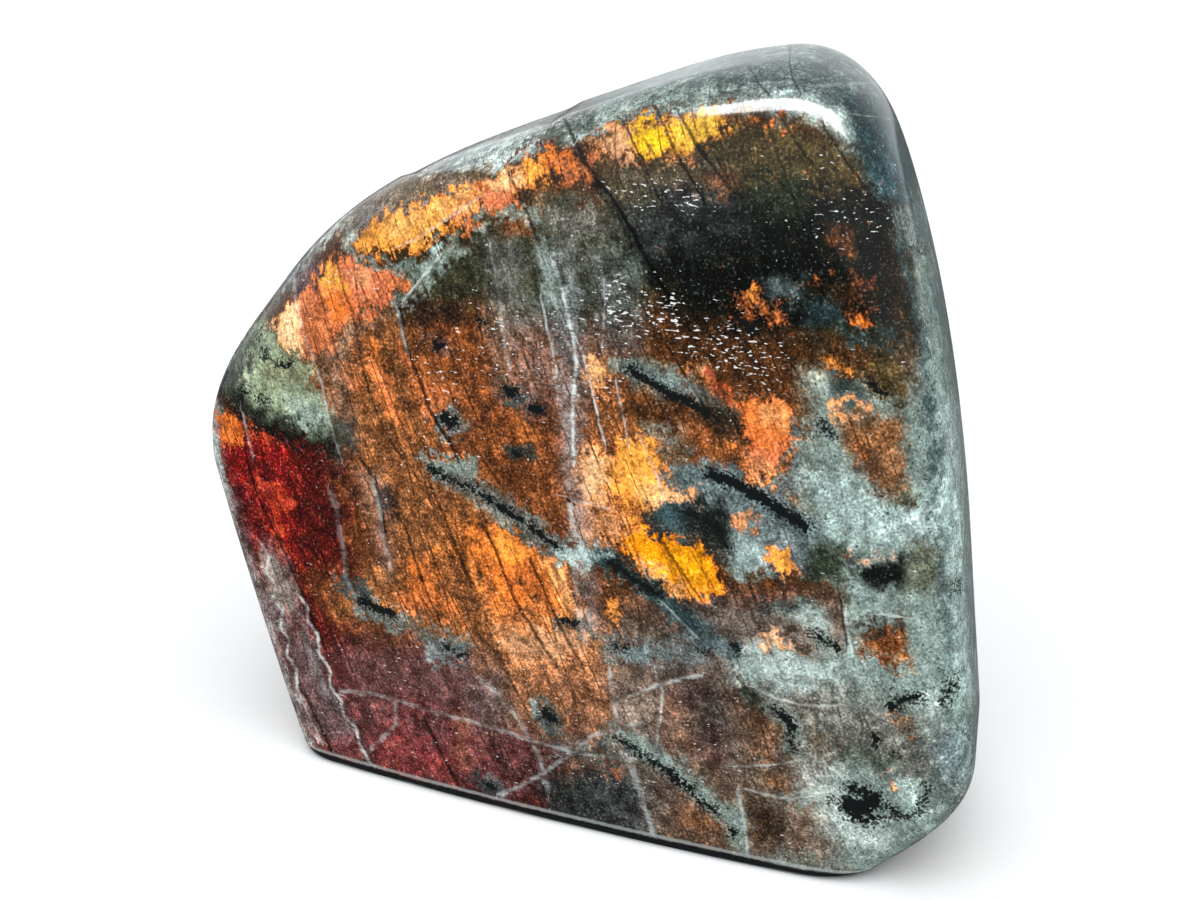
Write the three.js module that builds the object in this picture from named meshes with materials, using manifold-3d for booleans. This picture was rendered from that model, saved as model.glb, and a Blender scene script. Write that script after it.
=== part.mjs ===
// A polished labradorite freeform: one natural stone, rounded at every edge and sawn flat underneath
// so that it stands up. Millimetres, +Z up. The polished front faces -Y, and the origin is on the
// ground below the middle of the stone.

import * as THREE from 'three';
import { mergeVertices } from 'three/addons/utils/BufferGeometryUtils.js';
import Module from 'manifold-3d';

// Driving dimensions of the whole stone.
const width = 144;
const depth = 50.5;
const height = 134.6;

// How finely the surface is divided along each side of the stone.
const squaresAcross = 38;
const squaresDeep = 14;
const squaresUp = 36;

// The stone's polish and its overall colour, a dark grey brown.
const stoneColour = 0x5a4a3c;
const stoneRoughness = 0.12;

const left = -width / 2;
const right = width / 2;
const front = -depth / 2;
const back = depth / 2;
const heart = new THREE.Vector3(0, 0, 0.45 * height);

// The faces that the stone is ground to. Each passes through the point `at`, looks along `facing`,
// and runs into the faces listed before it over a rounded edge as wide as `blend`. A face with `bow`
// is slightly domed, with those two radii across and up the stone.
const faces = [
  { name: 'front', at: [19, front, 62], facing: [0, -1, 0.02], blend: 8, bow: [700, 650] },
  { name: 'back', at: [0, back - 0.5, 60], facing: [0, 1, 0.05], blend: 16, bow: [500, 500] },
  { name: 'lower left', at: [left + 9.6, 0, 25], facing: [-0.963, 0, -0.27], blend: 8 },
  { name: 'upper left', at: [left + 19, 0, 96], facing: [-0.76, 0, 0.65], blend: 14 },
  { name: 'top left', at: [left + 61, 2.6, height - 13.4], facing: [-0.34, -0.06, 0.94], blend: 10 },
  { name: 'top', at: [33, 2.6, height + 3.4], facing: [0.12, -0.1, 1], blend: 11 },
  { name: 'top right', at: [right - 21.6, 2.6, 122], facing: [0.92, 0.12, 0.39], blend: 13 },
  { name: 'right', at: [right - 7.3, 2.6, 62], facing: [0.98, 0.15, 0.12], blend: 10 },
  { name: 'lower right', at: [right - 3.3, 0, 12], facing: [0.68, 0, -0.73], blend: 8 },
  { name: 'underside', at: [0, 0, -0.5], facing: [0, 0, -1], blend: 3 },
];

// The flake that broke away along the lower left edge of the front: its outline in X and Z, and the
// floor it left, a few tenths of a millimetre below the polish.
const flake = {
  outline: [
    [-61, 51], [-58.5, 43], [-58.3, 38], [-56.5, 31], [-54, 21], [-53, 14], [-49, 4.5],
    [-40, 5], [-43.5, 13], [-47.5, 22], [-51, 30], [-52.3, 37], [-52.5, 42], [-56, 51],
  ],
  floorAt: [-50, front + 4.6, 25],
  floorTurn: -0.035,
  reach: 12,
};

const sawWasteDepth = 20;

function smoothMax(a, b, blend) {
  const overlap = Math.max(blend - Math.abs(a - b), 0) / blend;
  return Math.max(a, b) + (overlap * overlap * blend) / 4;
}

// How far a point stands outside one face, negative inside the stone.
function distanceToFace(point, face) {
  const offset = point.clone().sub(new THREE.Vector3(...face.at));
  const dome = face.bow ? offset.x ** 2 / (2 * face.bow[0]) + offset.z ** 2 / (2 * face.bow[1]) : 0;
  return offset.dot(new THREE.Vector3(...face.facing).normalize()) + dome;
}

function distanceToStone(point) {
  return faces.reduce(
    (distance, face) => smoothMax(distance, distanceToFace(point, face), face.blend),
    -height,
  );
}

// The point where a line from the stone's heart leaves the stone, found by halving.
function surfacePoint(direction) {
  let inside = 0;
  let outside = width + height;
  for (let step = 0; step < 40; step += 1) {
    const middle = (inside + outside) / 2;
    const point = heart.clone().addScaledVector(direction, middle);
    if (distanceToStone(point) > 0) outside = middle;
    else inside = middle;
  }
  return heart.clone().addScaledVector(direction, inside);
}

// A box of fine squares, each of whose points is moved along its line from the heart to the surface.
function roundedBody() {
  const geometry = new THREE.BoxGeometry(width, depth, height, squaresAcross, squaresDeep, squaresUp);
  const position = geometry.getAttribute('position');
  for (let i = 0; i < position.count; i += 1) {
    const direction = new THREE.Vector3().fromBufferAttribute(position, i).normalize();
    position.setXYZ(i, ...surfacePoint(direction).toArray());
  }
  return geometry;
}

// What the saw takes off underneath, down from the ground.
function sawWaste() {
  const margin = 1.5;
  const geometry = new THREE.BoxGeometry(margin * width, margin * depth, sawWasteDepth);
  return geometry.translate(0, 0, -sawWasteDepth / 2);
}

// What is missing in front of the flake's floor.
function flakeWaste() {
  const outline = new THREE.Shape(flake.outline.map(([x, z]) => new THREE.Vector2(x - flake.floorAt[0], z)));
  const geometry = new THREE.ExtrudeGeometry(outline, { depth: flake.reach, bevelEnabled: false });
  geometry.rotateX(Math.PI / 2);
  geometry.rotateZ(flake.floorTurn);
  return geometry.translate(flake.floorAt[0], flake.floorAt[1], 0);
}

const wasm = await Module();
wasm.setup();

function toSolid(geometry) {
  geometry.deleteAttribute('normal');
  geometry.deleteAttribute('uv');
  const merged = mergeVertices(geometry, 1e-4);
  const mesh = new wasm.Mesh({
    numProp: 3,
    vertProperties: new Float32Array(merged.getAttribute('position').array),
    triVerts: new Uint32Array(merged.getIndex().array),
  });
  return new wasm.Manifold(mesh);
}

function toGeometry(solid) {
  const mesh = solid.getMesh();
  const geometry = new THREE.BufferGeometry();
  geometry.setAttribute('position', new THREE.BufferAttribute(new Float32Array(mesh.vertProperties), 3));
  geometry.setIndex(new THREE.BufferAttribute(new Uint32Array(mesh.triVerts), 1));
  return geometry;
}

// Sets the origin below the middle of the stone.
function centreOnGround(geometry) {
  geometry.computeBoundingBox();
  const middle = geometry.boundingBox.getCenter(new THREE.Vector3());
  geometry.translate(-middle.x, -middle.y, 0);
  geometry.computeVertexNormals();
  return geometry;
}

function labradoriteStone() {
  const solid = toSolid(roundedBody()).subtract(toSolid(sawWaste())).subtract(toSolid(flakeWaste()));
  const material = new THREE.MeshStandardMaterial({
    color: stoneColour,
    roughness: stoneRoughness,
    metalness: 0,
  });
  const stone = new THREE.Mesh(centreOnGround(toGeometry(solid)), material);
  stone.name = 'stone';
  return stone;
}

const freeform = new THREE.Group();
freeform.add(labradoriteStone());

export default freeform;
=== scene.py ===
import math

import bmesh
import bpy
import numpy as np
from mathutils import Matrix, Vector, noise


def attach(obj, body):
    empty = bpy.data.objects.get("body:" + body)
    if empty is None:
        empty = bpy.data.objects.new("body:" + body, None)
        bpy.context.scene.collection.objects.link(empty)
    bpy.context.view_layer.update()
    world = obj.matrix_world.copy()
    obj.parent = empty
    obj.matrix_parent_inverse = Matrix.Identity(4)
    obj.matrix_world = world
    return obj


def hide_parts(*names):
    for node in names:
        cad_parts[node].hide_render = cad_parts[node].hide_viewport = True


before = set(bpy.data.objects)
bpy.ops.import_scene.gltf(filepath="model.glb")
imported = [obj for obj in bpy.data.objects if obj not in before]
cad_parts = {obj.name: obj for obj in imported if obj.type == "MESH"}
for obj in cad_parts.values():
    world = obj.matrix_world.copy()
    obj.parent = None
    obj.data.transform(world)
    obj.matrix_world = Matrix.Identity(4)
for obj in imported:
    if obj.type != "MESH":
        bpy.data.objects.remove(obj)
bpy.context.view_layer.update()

mm = 0.001

# Where the photo was taken from. Marks on the stone are placed by their pixels in that view.
view = {
    "imageWidth": 1200,
    "imageHeight": 900,
    "azimuth": 22,
    "elevation": 20,
    "distance": 300,
    "aim": (-1.2, 2.9, 62),
    "lens": 50,
    "sensor": 36,
    "clipStart": 0.01,
}

# The stone's shape in millimetres, as the frame has it: the faces it was ground to, each with a point
# on it, its direction, the width of its rounded edge and how far it is domed across and up.
shape = {
    "width": 144,
    "depth": 50.5,
    "height": 134.6,
    "heart": (0, 0, 60.57),
    "cutsAcross": 124,
    "cutsDeep": 42,
    "cutsUp": 116,
    "halvings": 36,
    "faces": {
        "front": ((19, -25.25, 62), (0, -1, 0.02), 8, (700, 650)),
        "back": ((0, 24.75, 60), (0, 1, 0.05), 16, (500, 500)),
        "lower left": ((-62.4, 0, 25), (-0.963, 0, -0.27), 8, None),
        "upper left": ((-53, 0, 96), (-0.76, 0, 0.65), 14, None),
        "top left": ((-11, 2.6, 121.2), (-0.34, -0.06, 0.94), 10, None),
        "top": ((33, 2.6, 138), (0.12, -0.1, 1), 11, None),
        "top right": ((50.4, 2.6, 122), (0.92, 0.12, 0.39), 13, None),
        "right": ((64.7, 2.6, 62), (0.98, 0.15, 0.12), 10, None),
        "lower right": ((68.7, 0, 12), (0.68, 0, -0.73), 8, None),
        "underside": ((0, 0, -0.5), (0, 0, -1), 3, None),
    },
    "waviness": 0.06,
    "wavelength": 22,
    "waveSeed": 1,
}

# The flake that broke away low on the left of the front, its outline in X and Z and the floor it left.
flake = {
    "outline": [(-61, 51), (-58.5, 43), (-58.3, 38), (-56.5, 31), (-54, 21), (-53, 14), (-49, 4.5), (-40, 5),
        (-43.5, 13), (-47.5, 22), (-51, 30), (-52.3, 37), (-52.5, 42), (-56, 51)],
    "floorAt": (-50, -20.65),
    "floorTurn": -0.035,
    "edge": 0.9,
}

# The low step beside the top, and small chips, by their pixels: depth, soft edge and outline.
hollows = {
    "ledge": (0.5, 3, [(380, 160), (425, 130), (500, 100), (586, 84), (582, 98), (563, 113), (548, 124),
        (538, 134), (526, 148), (505, 166), (470, 168), (432, 170), (398, 174)]),
    "rim chip": (0.4, 3, [(706, 86), (735, 82), (760, 86), (738, 93), (712, 94)]),
    "shoulder chip": (0.4, 3, [(352, 212), (368, 202), (388, 202), (374, 214), (356, 226)]),
    "foot chip": (0.4, 3, [(604, 806), (640, 812), (660, 826), (626, 822)]),
    "black mass": (0.3, 6, [(845, 786), (870, 775), (886, 800), (876, 822), (850, 812)]),
}

# Colours as the eye sees them, 0 to 255, then how much each flashes, and how gritty it is.
palette = {
    "crimson": (146, 20, 20, 0.0, 0.1),
    "scarlet": (178, 52, 34, 0.7, 0.1),
    "maroon": (78, 14, 6, 0.0, 0.1),
    "garnet": (62, 22, 20, 0.0, 0.1),
    "wine": (94, 48, 45, 0.0, 0.3),
    "rose": (165, 62, 56, 0.5, 0.1),
    "plum": (94, 72, 72, 0.0, 0.4),
    "peach": (252, 190, 130, 1.0, 0.0),
    "amber": (250, 166, 66, 1.0, 0.0),
    "gold": (250, 146, 0, 1.0, 0.0),
    "yellow": (250, 196, 20, 1.0, 0.0),
    "straw": (228, 180, 60, 1.0, 0.0),
    "cream": (254, 204, 148, 1.0, 0.0),
    "copper": (200, 114, 66, 0.8, 0.0),
    "orange": (226, 116, 40, 0.95, 0.0),
    "salmon": (226, 122, 80, 0.9, 0.0),
    "tan": (204, 148, 104, 0.8, 0.1),
    "russet": (146, 80, 36, 0.5, 0.1),
    "ochre": (140, 86, 46, 0.0, 0.1),
    "rust": (116, 64, 30, 0.0, 0.1),
    "brown": (76, 44, 18, 0.0, 0.2),
    "bark": (84, 64, 50, 0.0, 0.3),
    "umber": (42, 26, 13, 0.0, 0.2),
    "night": (12, 15, 11, 0.0, 0.3),
    "olive": (74, 64, 36, 0.0, 0.4),
    "moss": (40, 48, 34, 0.0, 0.5),
    "ash": (106, 104, 96, 0.0, 0.4),
    "taupe": (134, 114, 98, 0.0, 0.3),
    "slate": (44, 66, 70, 0.0, 0.5),
    "steel": (104, 122, 124, 0.0, 0.6),
    "lichen": (150, 164, 134, 0.0, 1),
    "sage": (126, 143, 136, 0.0, 0.9),
    "mist": (166, 187, 182, 0.0, 0.8),
    "pale": (200, 212, 206, 0.0, 0.9),
}

# Areas of colour in the order they lie on each other: palette name, strength, soft edge and outline
# in pixels.
areas = {
    # The ground colours of the whole front.
    "red side": ("maroon", 1, 14, [(190, 400), (300, 425), (345, 465), (362, 560), (350, 640), (400, 700),
        (520, 740), (600, 780), (600, 860), (300, 800), (190, 520)]),
    "crimson shoulder": ("crimson", 0.9, 12, [(215, 430), (262, 425), (290, 450), (294, 500), (290, 560),
        (268, 560), (235, 520)]),
    "wine foot": ("wine", 0.85, 16, [(262, 570), (300, 640), (420, 632), (490, 640), (560, 690), (600, 760),
        (520, 800), (320, 770)]),
    "rust heart": ("rust", 1, 20, [(390, 300), (470, 300), (600, 340), (640, 400), (640, 520), (560, 560),
        (480, 500), (420, 470)]),
    "ochre heart": ("ochre", 1, 16, [(345, 440), (420, 450), (480, 500), (560, 560), (640, 620), (640, 700),
        (600, 740), (500, 740), (470, 650), (350, 620)]),
    "upper left brown": ("ochre", 0.9, 14, [(290, 300), (400, 290), (430, 450), (345, 450), (300, 400)]),
    "upper middle ash": ("moss", 0.8, 14, [(400, 255), (460, 235), (560, 195), (660, 190), (690, 260),
        (640, 310), (560, 330), (480, 300), (400, 320)]),
    "dark crown": ("night", 1, 14, [(640, 205), (690, 180), (770, 160), (850, 180), (890, 225), (900, 330),
        (860, 345), (760, 335), (690, 322), (655, 280), (628, 236)]),
    "dark under the yellow": ("olive", 0.9, 10, [(690, 150), (740, 118), (850, 135), (880, 190), (800, 190),
        (700, 190)]),
    "amber middle": ("ochre", 0.8, 16, [(580, 350), (700, 380), (800, 400), (800, 480), (700, 460),
        (640, 520), (580, 520)]),
    "right side": ("sage", 1, 12, [(845, 90), (885, 100), (915, 220), (925, 330), (905, 400), (820, 380),
        (800, 440), (800, 600), (840, 690), (760, 760), (750, 880), (1000, 880), (1000, 300), (940, 100)]),
    "lower right slate": ("ash", 0.9, 18, [(740, 660), (800, 680), (880, 700), (960, 740), (960, 800),
        (860, 760), (780, 800), (740, 760)]),
    "bottom browns": ("bark", 0.95, 14, [(600, 600), (700, 600), (760, 620), (770, 700), (760, 860),
        (560, 830), (560, 780), (620, 740)]),
    "dark middle": ("steel", 0.9, 10, [(650, 500), (690, 462), (740, 470), (812, 525), (840, 560),
        (800, 580), (740, 575), (730, 560), (700, 548), (680, 530)]),

    # The top face and its ledge.
    "top face": ("steel", 0.9, 6, [(500, 145), (580, 98), (640, 70), (700, 45), (760, 30), (850, 35),
        (880, 75), (895, 115), (850, 112), (800, 99), (760, 92), (700, 92), (650, 100), (600, 116),
        (560, 134), (520, 158)]),
    # Painted reflection: the top face made paler, as its polish mirrors the pale surroundings at a low
    # angle.
    "top face reflection, painted": ("mist", 0.85, 12, [(590, 96), (660, 62), (740, 36), (800, 30), (830, 44), (740, 52),
        (690, 72), (640, 92), (600, 106)]),
    "top face left": ("moss", 0.7, 6, [(545, 134), (580, 112), (640, 98), (700, 86), (735, 84), (735, 92),
        (690, 98), (640, 106), (600, 122), (565, 140)]),
    "ledge": ("pale", 1, 3, [(398, 174), (425, 158), (470, 140), (500, 128), (540, 112), (582, 98),
        (563, 113), (548, 124), (538, 134), (526, 148), (505, 166), (470, 168), (432, 170)]),
    "ledge shade": ("ash", 0.5, 4, [(528, 138), (545, 122), (560, 110), (582, 100), (563, 114),
        (540, 134)]),
    "ledge streak": ("steel", 0.7, 3, [(440, 163), (462, 154), (500, 146), (520, 134), (516, 142),
        (500, 152), (470, 160), (445, 168)]),
    "brown under the ledge": ("taupe", 1, 6, [(338, 232), (362, 205), (405, 176), (470, 170), (506, 168),
        (500, 184), (440, 197), (400, 212), (366, 230), (345, 250)]),
    "dark under the ledge": ("olive", 0.6, 4, [(384, 200), (400, 186), (430, 172), (500, 168), (500, 176),
        (440, 180), (410, 192)]),
    "grey under the rim": ("ash", 0.9, 4, [(350, 222), (358, 206), (385, 200), (375, 212), (362, 226)]),
    "rim blue": ("mist", 0.7, 4, [(338, 232), (352, 222), (356, 240), (344, 248)]),

    # Painted reflection: a pale rim along the upper left edge, where the turning polish mirrors the pale
    # surroundings.
    "rim reflection, painted": ("pale", 0.9, 4, [(203, 402), (212, 372), (226, 335), (248, 300), (273, 268), (298, 238),
        (328, 210), (358, 184), (390, 158), (430, 132), (480, 110), (480, 122), (430, 146), (396, 168),
        (372, 190), (345, 214), (325, 236), (302, 258), (282, 282), (262, 306), (246, 330), (232, 352),
        (220, 378)]),

    # The strip of flashes along the top.
    "amber strip, left": ("amber", 1, 5, [(344, 250), (370, 222), (400, 206), (440, 193), (482, 180),
        (484, 204), (446, 226), (422, 246), (380, 254)]),
    "amber strip, fire": ("peach", 0.5, 8, [(384, 216), (414, 204), (430, 207), (424, 226), (400, 236),
        (386, 232)]),
    "amber strip, peach": ("peach", 0.7, 5, [(430, 202), (472, 190), (474, 204), (440, 216)]),
    "salmon strip": ("salmon", 0.9, 5, [(476, 184), (515, 184), (524, 206), (496, 212), (476, 206)]),
    "rust by the strip": ("copper", 0.8, 5, [(448, 208), (472, 203), (476, 232), (452, 238)]),
    "amber strip, middle": ("peach", 1, 4, [(480, 178), (505, 167), (524, 164), (528, 183), (500, 188)]),
    "amber strip, right": ("amber", 0.9, 4, [(525, 160), (546, 152), (552, 176), (530, 184)]),
    "orange strip": ("orange", 0.85, 4, [(546, 152), (568, 144), (574, 162), (550, 170)]),
    "copper strip": ("copper", 0.9, 5, [(556, 162), (597, 158), (602, 180), (562, 186)]),
    "peach by the crack": ("tan", 1, 4, [(580, 144), (602, 134), (626, 124), (642, 155), (620, 166),
        (600, 158)]),
    "yellow flash": ("yellow", 1, 5, [(626, 126), (656, 116), (672, 134), (676, 148), (642, 154)]),
    "straw flash": ("straw", 1, 6, [(668, 116), (690, 110), (724, 108), (730, 124), (694, 150),
        (676, 148)]),
    "olive under yellow": ("olive", 0.9, 8, [(640, 156), (676, 152), (700, 158), (696, 182), (648, 182)]),
    "amber speckle": ("amber", 0.35, 8, [(640, 150), (690, 146), (692, 170), (652, 172)]),
    "orange dot": ("orange", 0.8, 3, [(747, 113), (758, 112), (759, 122), (748, 122)]),
    "orange dash": ("orange", 0.85, 4, [(767, 116), (792, 116), (793, 126), (770, 127)]),
    # Painted highlight: a pale band along the rounded ridge between the front and the top.
    "ridge highlight, painted": ("mist", 0.9, 4, [(556, 138), (600, 112), (650, 96), (700, 88), (760, 86), (806, 94),
        (850, 108), (858, 130), (850, 158), (838, 134), (800, 112), (740, 104), (690, 106), (650, 112),
        (610, 128), (570, 146)]),
    "gold brown, crown": ("russet", 0.3, 8, [(728, 150), (772, 150), (776, 182), (732, 180)]),
    "gold brown, crown right": ("russet", 0.3, 8, [(798, 163), (862, 163), (866, 200), (802, 202)]),
    "green grey, crown": ("moss", 0.9, 8, [(752, 180), (802, 178), (802, 216), (756, 216)]),
    "rust, crown": ("rust", 0.8, 6, [(826, 228), (852, 226), (854, 248), (828, 250)]),
    "rust, crown left": ("rust", 0.8, 6, [(704, 172), (732, 172), (734, 192), (708, 194)]),
    "rust, upper middle": ("rust", 0.8, 8, [(498, 214), (538, 214), (540, 236), (502, 238)]),
    "rust, right of it": ("rust", 0.8, 6, [(578, 186), (604, 186), (606, 216), (582, 216)]),
    "olive, upper middle": ("olive", 0.9, 10, [(600, 168), (650, 165), (655, 205), (606, 200)]),
    "brown, upper middle": ("ash", 0.95, 12, [(540, 200), (600, 200), (620, 240), (560, 250)]),
    "sage, upper middle": ("moss", 0.8, 10, [(600, 245), (650, 248), (650, 280), (604, 285)]),

    # The upper right corner.
    "corner dark": ("slate", 0.95, 5, [(838, 92), (886, 92), (902, 122), (852, 118)]),
    "corner slate": ("slate", 1, 6, [(850, 118), (900, 116), (912, 150), (918, 200), (872, 205),
        (858, 160)]),
    "corner mottle": ("steel", 0.8, 6, [(888, 205), (930, 200), (940, 248), (895, 248)]),
    "corner edge": ("night", 0.8, 5, [(893, 245), (914, 252), (922, 300), (920, 338), (903, 335),
        (897, 290)]),
    "corner black": ("night", 0.9, 6, [(860, 195), (894, 200), (898, 235), (865, 232)]),
    # Grey green of the stone, painted paler where the right face turns away from the light.
    "right band, painted lighter": ("sage", 0.9, 6, [(914, 245), (945, 250), (958, 380), (958, 400), (926, 400),
        (922, 330)]),

    # The left shoulder.
    "shoulder plum": ("plum", 0.95, 4, [(300, 256), (322, 254), (322, 286), (300, 300), (290, 292),
        (290, 270)]),
    # Painted reflection: a grey rim along the left edge of the shoulder, where the turning polish mirrors
    # the surroundings.
    "shoulder rim reflection, painted": ("steel", 0.7, 4, [(300, 250), (315, 240), (300, 262), (286, 285), (262, 318),
        (232, 370), (222, 372), (240, 340), (265, 300), (283, 272)]),
    "shoulder flash": ("salmon", 0.9, 5, [(272, 325), (300, 296), (330, 262), (345, 256), (400, 270),
        (406, 292), (380, 304), (350, 326), (330, 352), (300, 356), (284, 352)]),
    "cream flash": ("cream", 1, 4, [(271, 325), (280, 313), (296, 304), (303, 335), (307, 352), (295, 357),
        (284, 353), (276, 340)]),
    "copper flash": ("copper", 1, 4, [(297, 302), (318, 298), (326, 315), (333, 342), (322, 354),
        (311, 353), (301, 322)]),
    "amber shoulder": ("amber", 1, 4, [(318, 282), (330, 264), (338, 260), (347, 292), (322, 297)]),
    "orange shoulder": ("orange", 0.9, 4, [(325, 302), (346, 299), (349, 320), (337, 327)]),
    "bright shoulder": ("salmon", 1, 5, [(342, 264), (352, 260), (380, 271), (386, 298), (362, 312),
        (352, 300)]),
    "bright shoulder peach": ("peach", 0.6, 5, [(350, 270), (368, 268), (374, 288), (356, 294)]),
    "salmon shoulder": ("copper", 0.85, 5, [(386, 272), (408, 272), (408, 290), (390, 294)]),
    "slate band": ("mist", 0.85, 4, [(342, 246), (362, 258), (382, 263), (402, 266), (428, 256), (446, 244),
        (448, 256), (425, 271), (400, 278), (378, 273), (358, 266)]),
    "mist wedge": ("taupe", 0.6, 6, [(326, 352), (345, 330), (362, 316), (396, 297), (402, 308), (362, 336),
        (340, 358)]),
    "copper below the wedge": ("copper", 0.6, 6, [(334, 360), (356, 344), (368, 380), (356, 400),
        (342, 380)]),
    "rust oval": ("orange", 0.5, 5, [(356, 326), (372, 321), (383, 352), (370, 360), (360, 350)]),
    "green shoulder": ("lichen", 1, 4, [(248, 326), (264, 316), (276, 335), (286, 352), (312, 360),
        (322, 370), (303, 380), (322, 394), (330, 410), (338, 446), (300, 436), (262, 422), (240, 410),
        (224, 390), (222, 370), (235, 345)]),
    "green shoulder, dark": ("olive", 0.4, 7, [(262, 362), (306, 364), (300, 384), (262, 390)]),
    "green shoulder, pale": ("mist", 0.7, 7, [(284, 396), (318, 402), (330, 430), (290, 420)]),
    "green shoulder, rim": ("ash", 0.7, 6, [(222, 376), (240, 350), (250, 356), (240, 384), (228, 396)]),
    "green shoulder, edge": ("night", 0.75, 5, [(216, 384), (232, 350), (250, 330), (258, 338), (242, 366),
        (236, 390), (264, 408), (300, 424), (334, 434), (336, 450), (296, 444), (254, 428), (222, 404)]),
    "slate tip": ("moss", 0.8, 6, [(322, 418), (350, 420), (356, 446), (332, 444)]),
    "red top": ("orange", 0.9, 5, [(216, 409), (230, 410), (243, 424), (248, 440), (232, 442),
        (220, 430)]),
    "red top pink": ("salmon", 0.6, 4, [(212, 414), (222, 416), (228, 448), (218, 448)]),
    "red top fire": ("scarlet", 0.8, 6, [(240, 420), (276, 424), (280, 442), (246, 444)]),
    "scarlet patch": ("scarlet", 0.85, 6, [(255, 478), (278, 478), (292, 490), (298, 506), (285, 517),
        (258, 500)]),
    "scarlet strip": ("scarlet", 0.7, 5, [(262, 512), (276, 512), (290, 545), (304, 582), (294, 584),
        (276, 550)]),
    "dark crimson": ("maroon", 0.8, 6, [(250, 456), (278, 458), (278, 476), (254, 478)]),
    "dark red": ("maroon", 0.9, 10, [(300, 450), (345, 470), (352, 600), (330, 625), (304, 575)]),
    "black red": ("garnet", 0.6, 8, [(318, 455), (345, 466), (350, 520), (330, 530)]),

    "rust under the red": ("rust", 0.9, 8, [(296, 578), (345, 562), (354, 600), (340, 626), (312, 612)]),
    "crimson foot": ("crimson", 0.55, 12, [(345, 712), (420, 706), (470, 730), (480, 780), (400, 768),
        (350, 745)]),
    # Painted reflection: a pale rim along the lower left edge, where the turning polish mirrors the pale
    # surroundings.
    "left rim reflection, painted": ("pale", 0.95, 3, [(190, 400), (190, 470), (205, 545), (230, 620), (262, 700),
        (290, 750), (318, 752), (309, 712), (294, 670), (279, 628), (267, 587), (252, 545), (236, 503),
        (223, 462), (219, 425), (222, 404)]),
    "red rim": ("garnet", 0.8, 7, [(226, 470), (238, 480), (260, 545), (284, 628), (320, 742), (312, 744),
        (270, 634), (236, 530)]),
    "rose band": ("rose", 0.6, 5, [(242, 462), (252, 464), (264, 500), (272, 535), (262, 545),
        (250, 510)]),
    "flake top": ("taupe", 0.9, 3, [(263, 545), (272, 548), (284, 560), (291, 582), (298, 604), (284, 612),
        (276, 604), (268, 580)]),
    "flake pink": ("rose", 0.7, 4, [(276, 606), (298, 602), (311, 624), (318, 650), (300, 662),
        (285, 636)]),
    "flake foot": ("plum", 0.9, 4, [(286, 640), (316, 648), (336, 698), (357, 735), (345, 742), (318, 738),
        (297, 686)]),
    "dark by the flake": ("maroon", 0.9, 6, [(291, 570), (310, 590), (330, 640), (350, 690), (372, 750),
        (360, 745), (336, 690), (318, 645)]),

    # The brown heart of the front.
    "orange stripe": ("copper", 0.8, 4, [(366, 362), (383, 357), (400, 400), (405, 416), (391, 420),
        (377, 400)]),
    "tan stripe": ("copper", 0.7, 5, [(392, 344), (408, 340), (428, 380), (440, 420), (428, 426),
        (408, 390)]),
    "russet block": ("russet", 0.9, 8, [(404, 318), (470, 318), (480, 400), (440, 412), (414, 370)]),
    "dark top of the block": ("umber", 0.8, 8, [(402, 296), (462, 298), (480, 324), (412, 332)]),
    "bright foot of the block": ("copper", 0.6, 7, [(424, 380), (462, 378), (470, 402), (432, 406)]),
    "russet right": ("russet", 0.8, 14, [(480, 340), (540, 340), (556, 440), (500, 450)]),
    "russet low": ("russet", 0.9, 12, [(400, 430), (436, 440), (430, 462), (405, 460)]),
    "grey veil": ("ash", 0.5, 12, [(486, 246), (516, 246), (520, 330), (500, 380), (490, 330)]),
    "bright middle": ("peach", 0.85, 5, [(584, 354), (602, 355), (613, 376), (606, 392), (590, 388)]),
    "rust left of the eye": ("rust", 0.9, 5, [(333, 478), (362, 480), (362, 502), (335, 502)]),
    "rust low left": ("rust", 0.9, 6, [(343, 524), (382, 524), (386, 562), (348, 562)]),
    "ochre low left": ("ochre", 0.9, 6, [(328, 592), (362, 594), (362, 622), (332, 622)]),
    "black patch": ("umber", 0.9, 6, [(378, 484), (398, 488), (400, 515), (384, 518)]),
    "orange flank": ("orange", 0.55, 10, [(398, 552), (440, 556), (446, 600), (404, 598)]),
    "salmon flank": ("salmon", 0.5, 8, [(396, 592), (462, 594), (466, 622), (400, 618)]),
    "amber flank": ("amber", 0.35, 14, [(426, 496), (452, 500), (500, 540), (470, 590), (436, 560)]),
    "orange field": ("orange", 0.65, 14, [(470, 520), (520, 522), (562, 560), (560, 610), (490, 612),
        (470, 570)]),
    "bright oval": ("amber", 0.6, 6, [(494, 532), (512, 534), (534, 548), (520, 560), (498, 556)]),
    "bright drop": ("peach", 0.7, 6, [(540, 560), (560, 562), (580, 592), (578, 616), (560, 608)]),
    "tan field": ("tan", 0.95, 12, [(480, 618), (600, 620), (604, 648), (560, 668), (505, 664)]),
    "copper foot": ("copper", 0.2, 16, [(508, 676), (590, 676), (606, 720), (590, 736), (520, 715)]),
    "plum foot": ("plum", 0.8, 12, [(462, 665), (500, 672), (514, 725), (470, 722)]),
    "rust by the tail": ("rust", 0.8, 6, [(578, 572), (604, 572), (608, 602), (582, 602)]),
    "amber by the tail": ("amber", 0.6, 4, [(603, 595), (622, 598), (622, 622), (606, 620)]),

    # The brightest middle, round the two dark veins.
    "peach block": ("peach", 1, 6, [(574, 450), (612, 454), (614, 482), (608, 503), (582, 503),
        (577, 480)]),
    "amber block": ("amber", 1, 7, [(612, 440), (660, 440), (664, 470), (648, 494), (616, 494)]),
    "peach bar": ("peach", 0.85, 6, [(638, 484), (700, 484), (704, 504), (644, 508)]),
    "tan bar": ("tan", 0.8, 7, [(572, 508), (620, 508), (640, 530), (618, 546), (576, 542)]),
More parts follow.
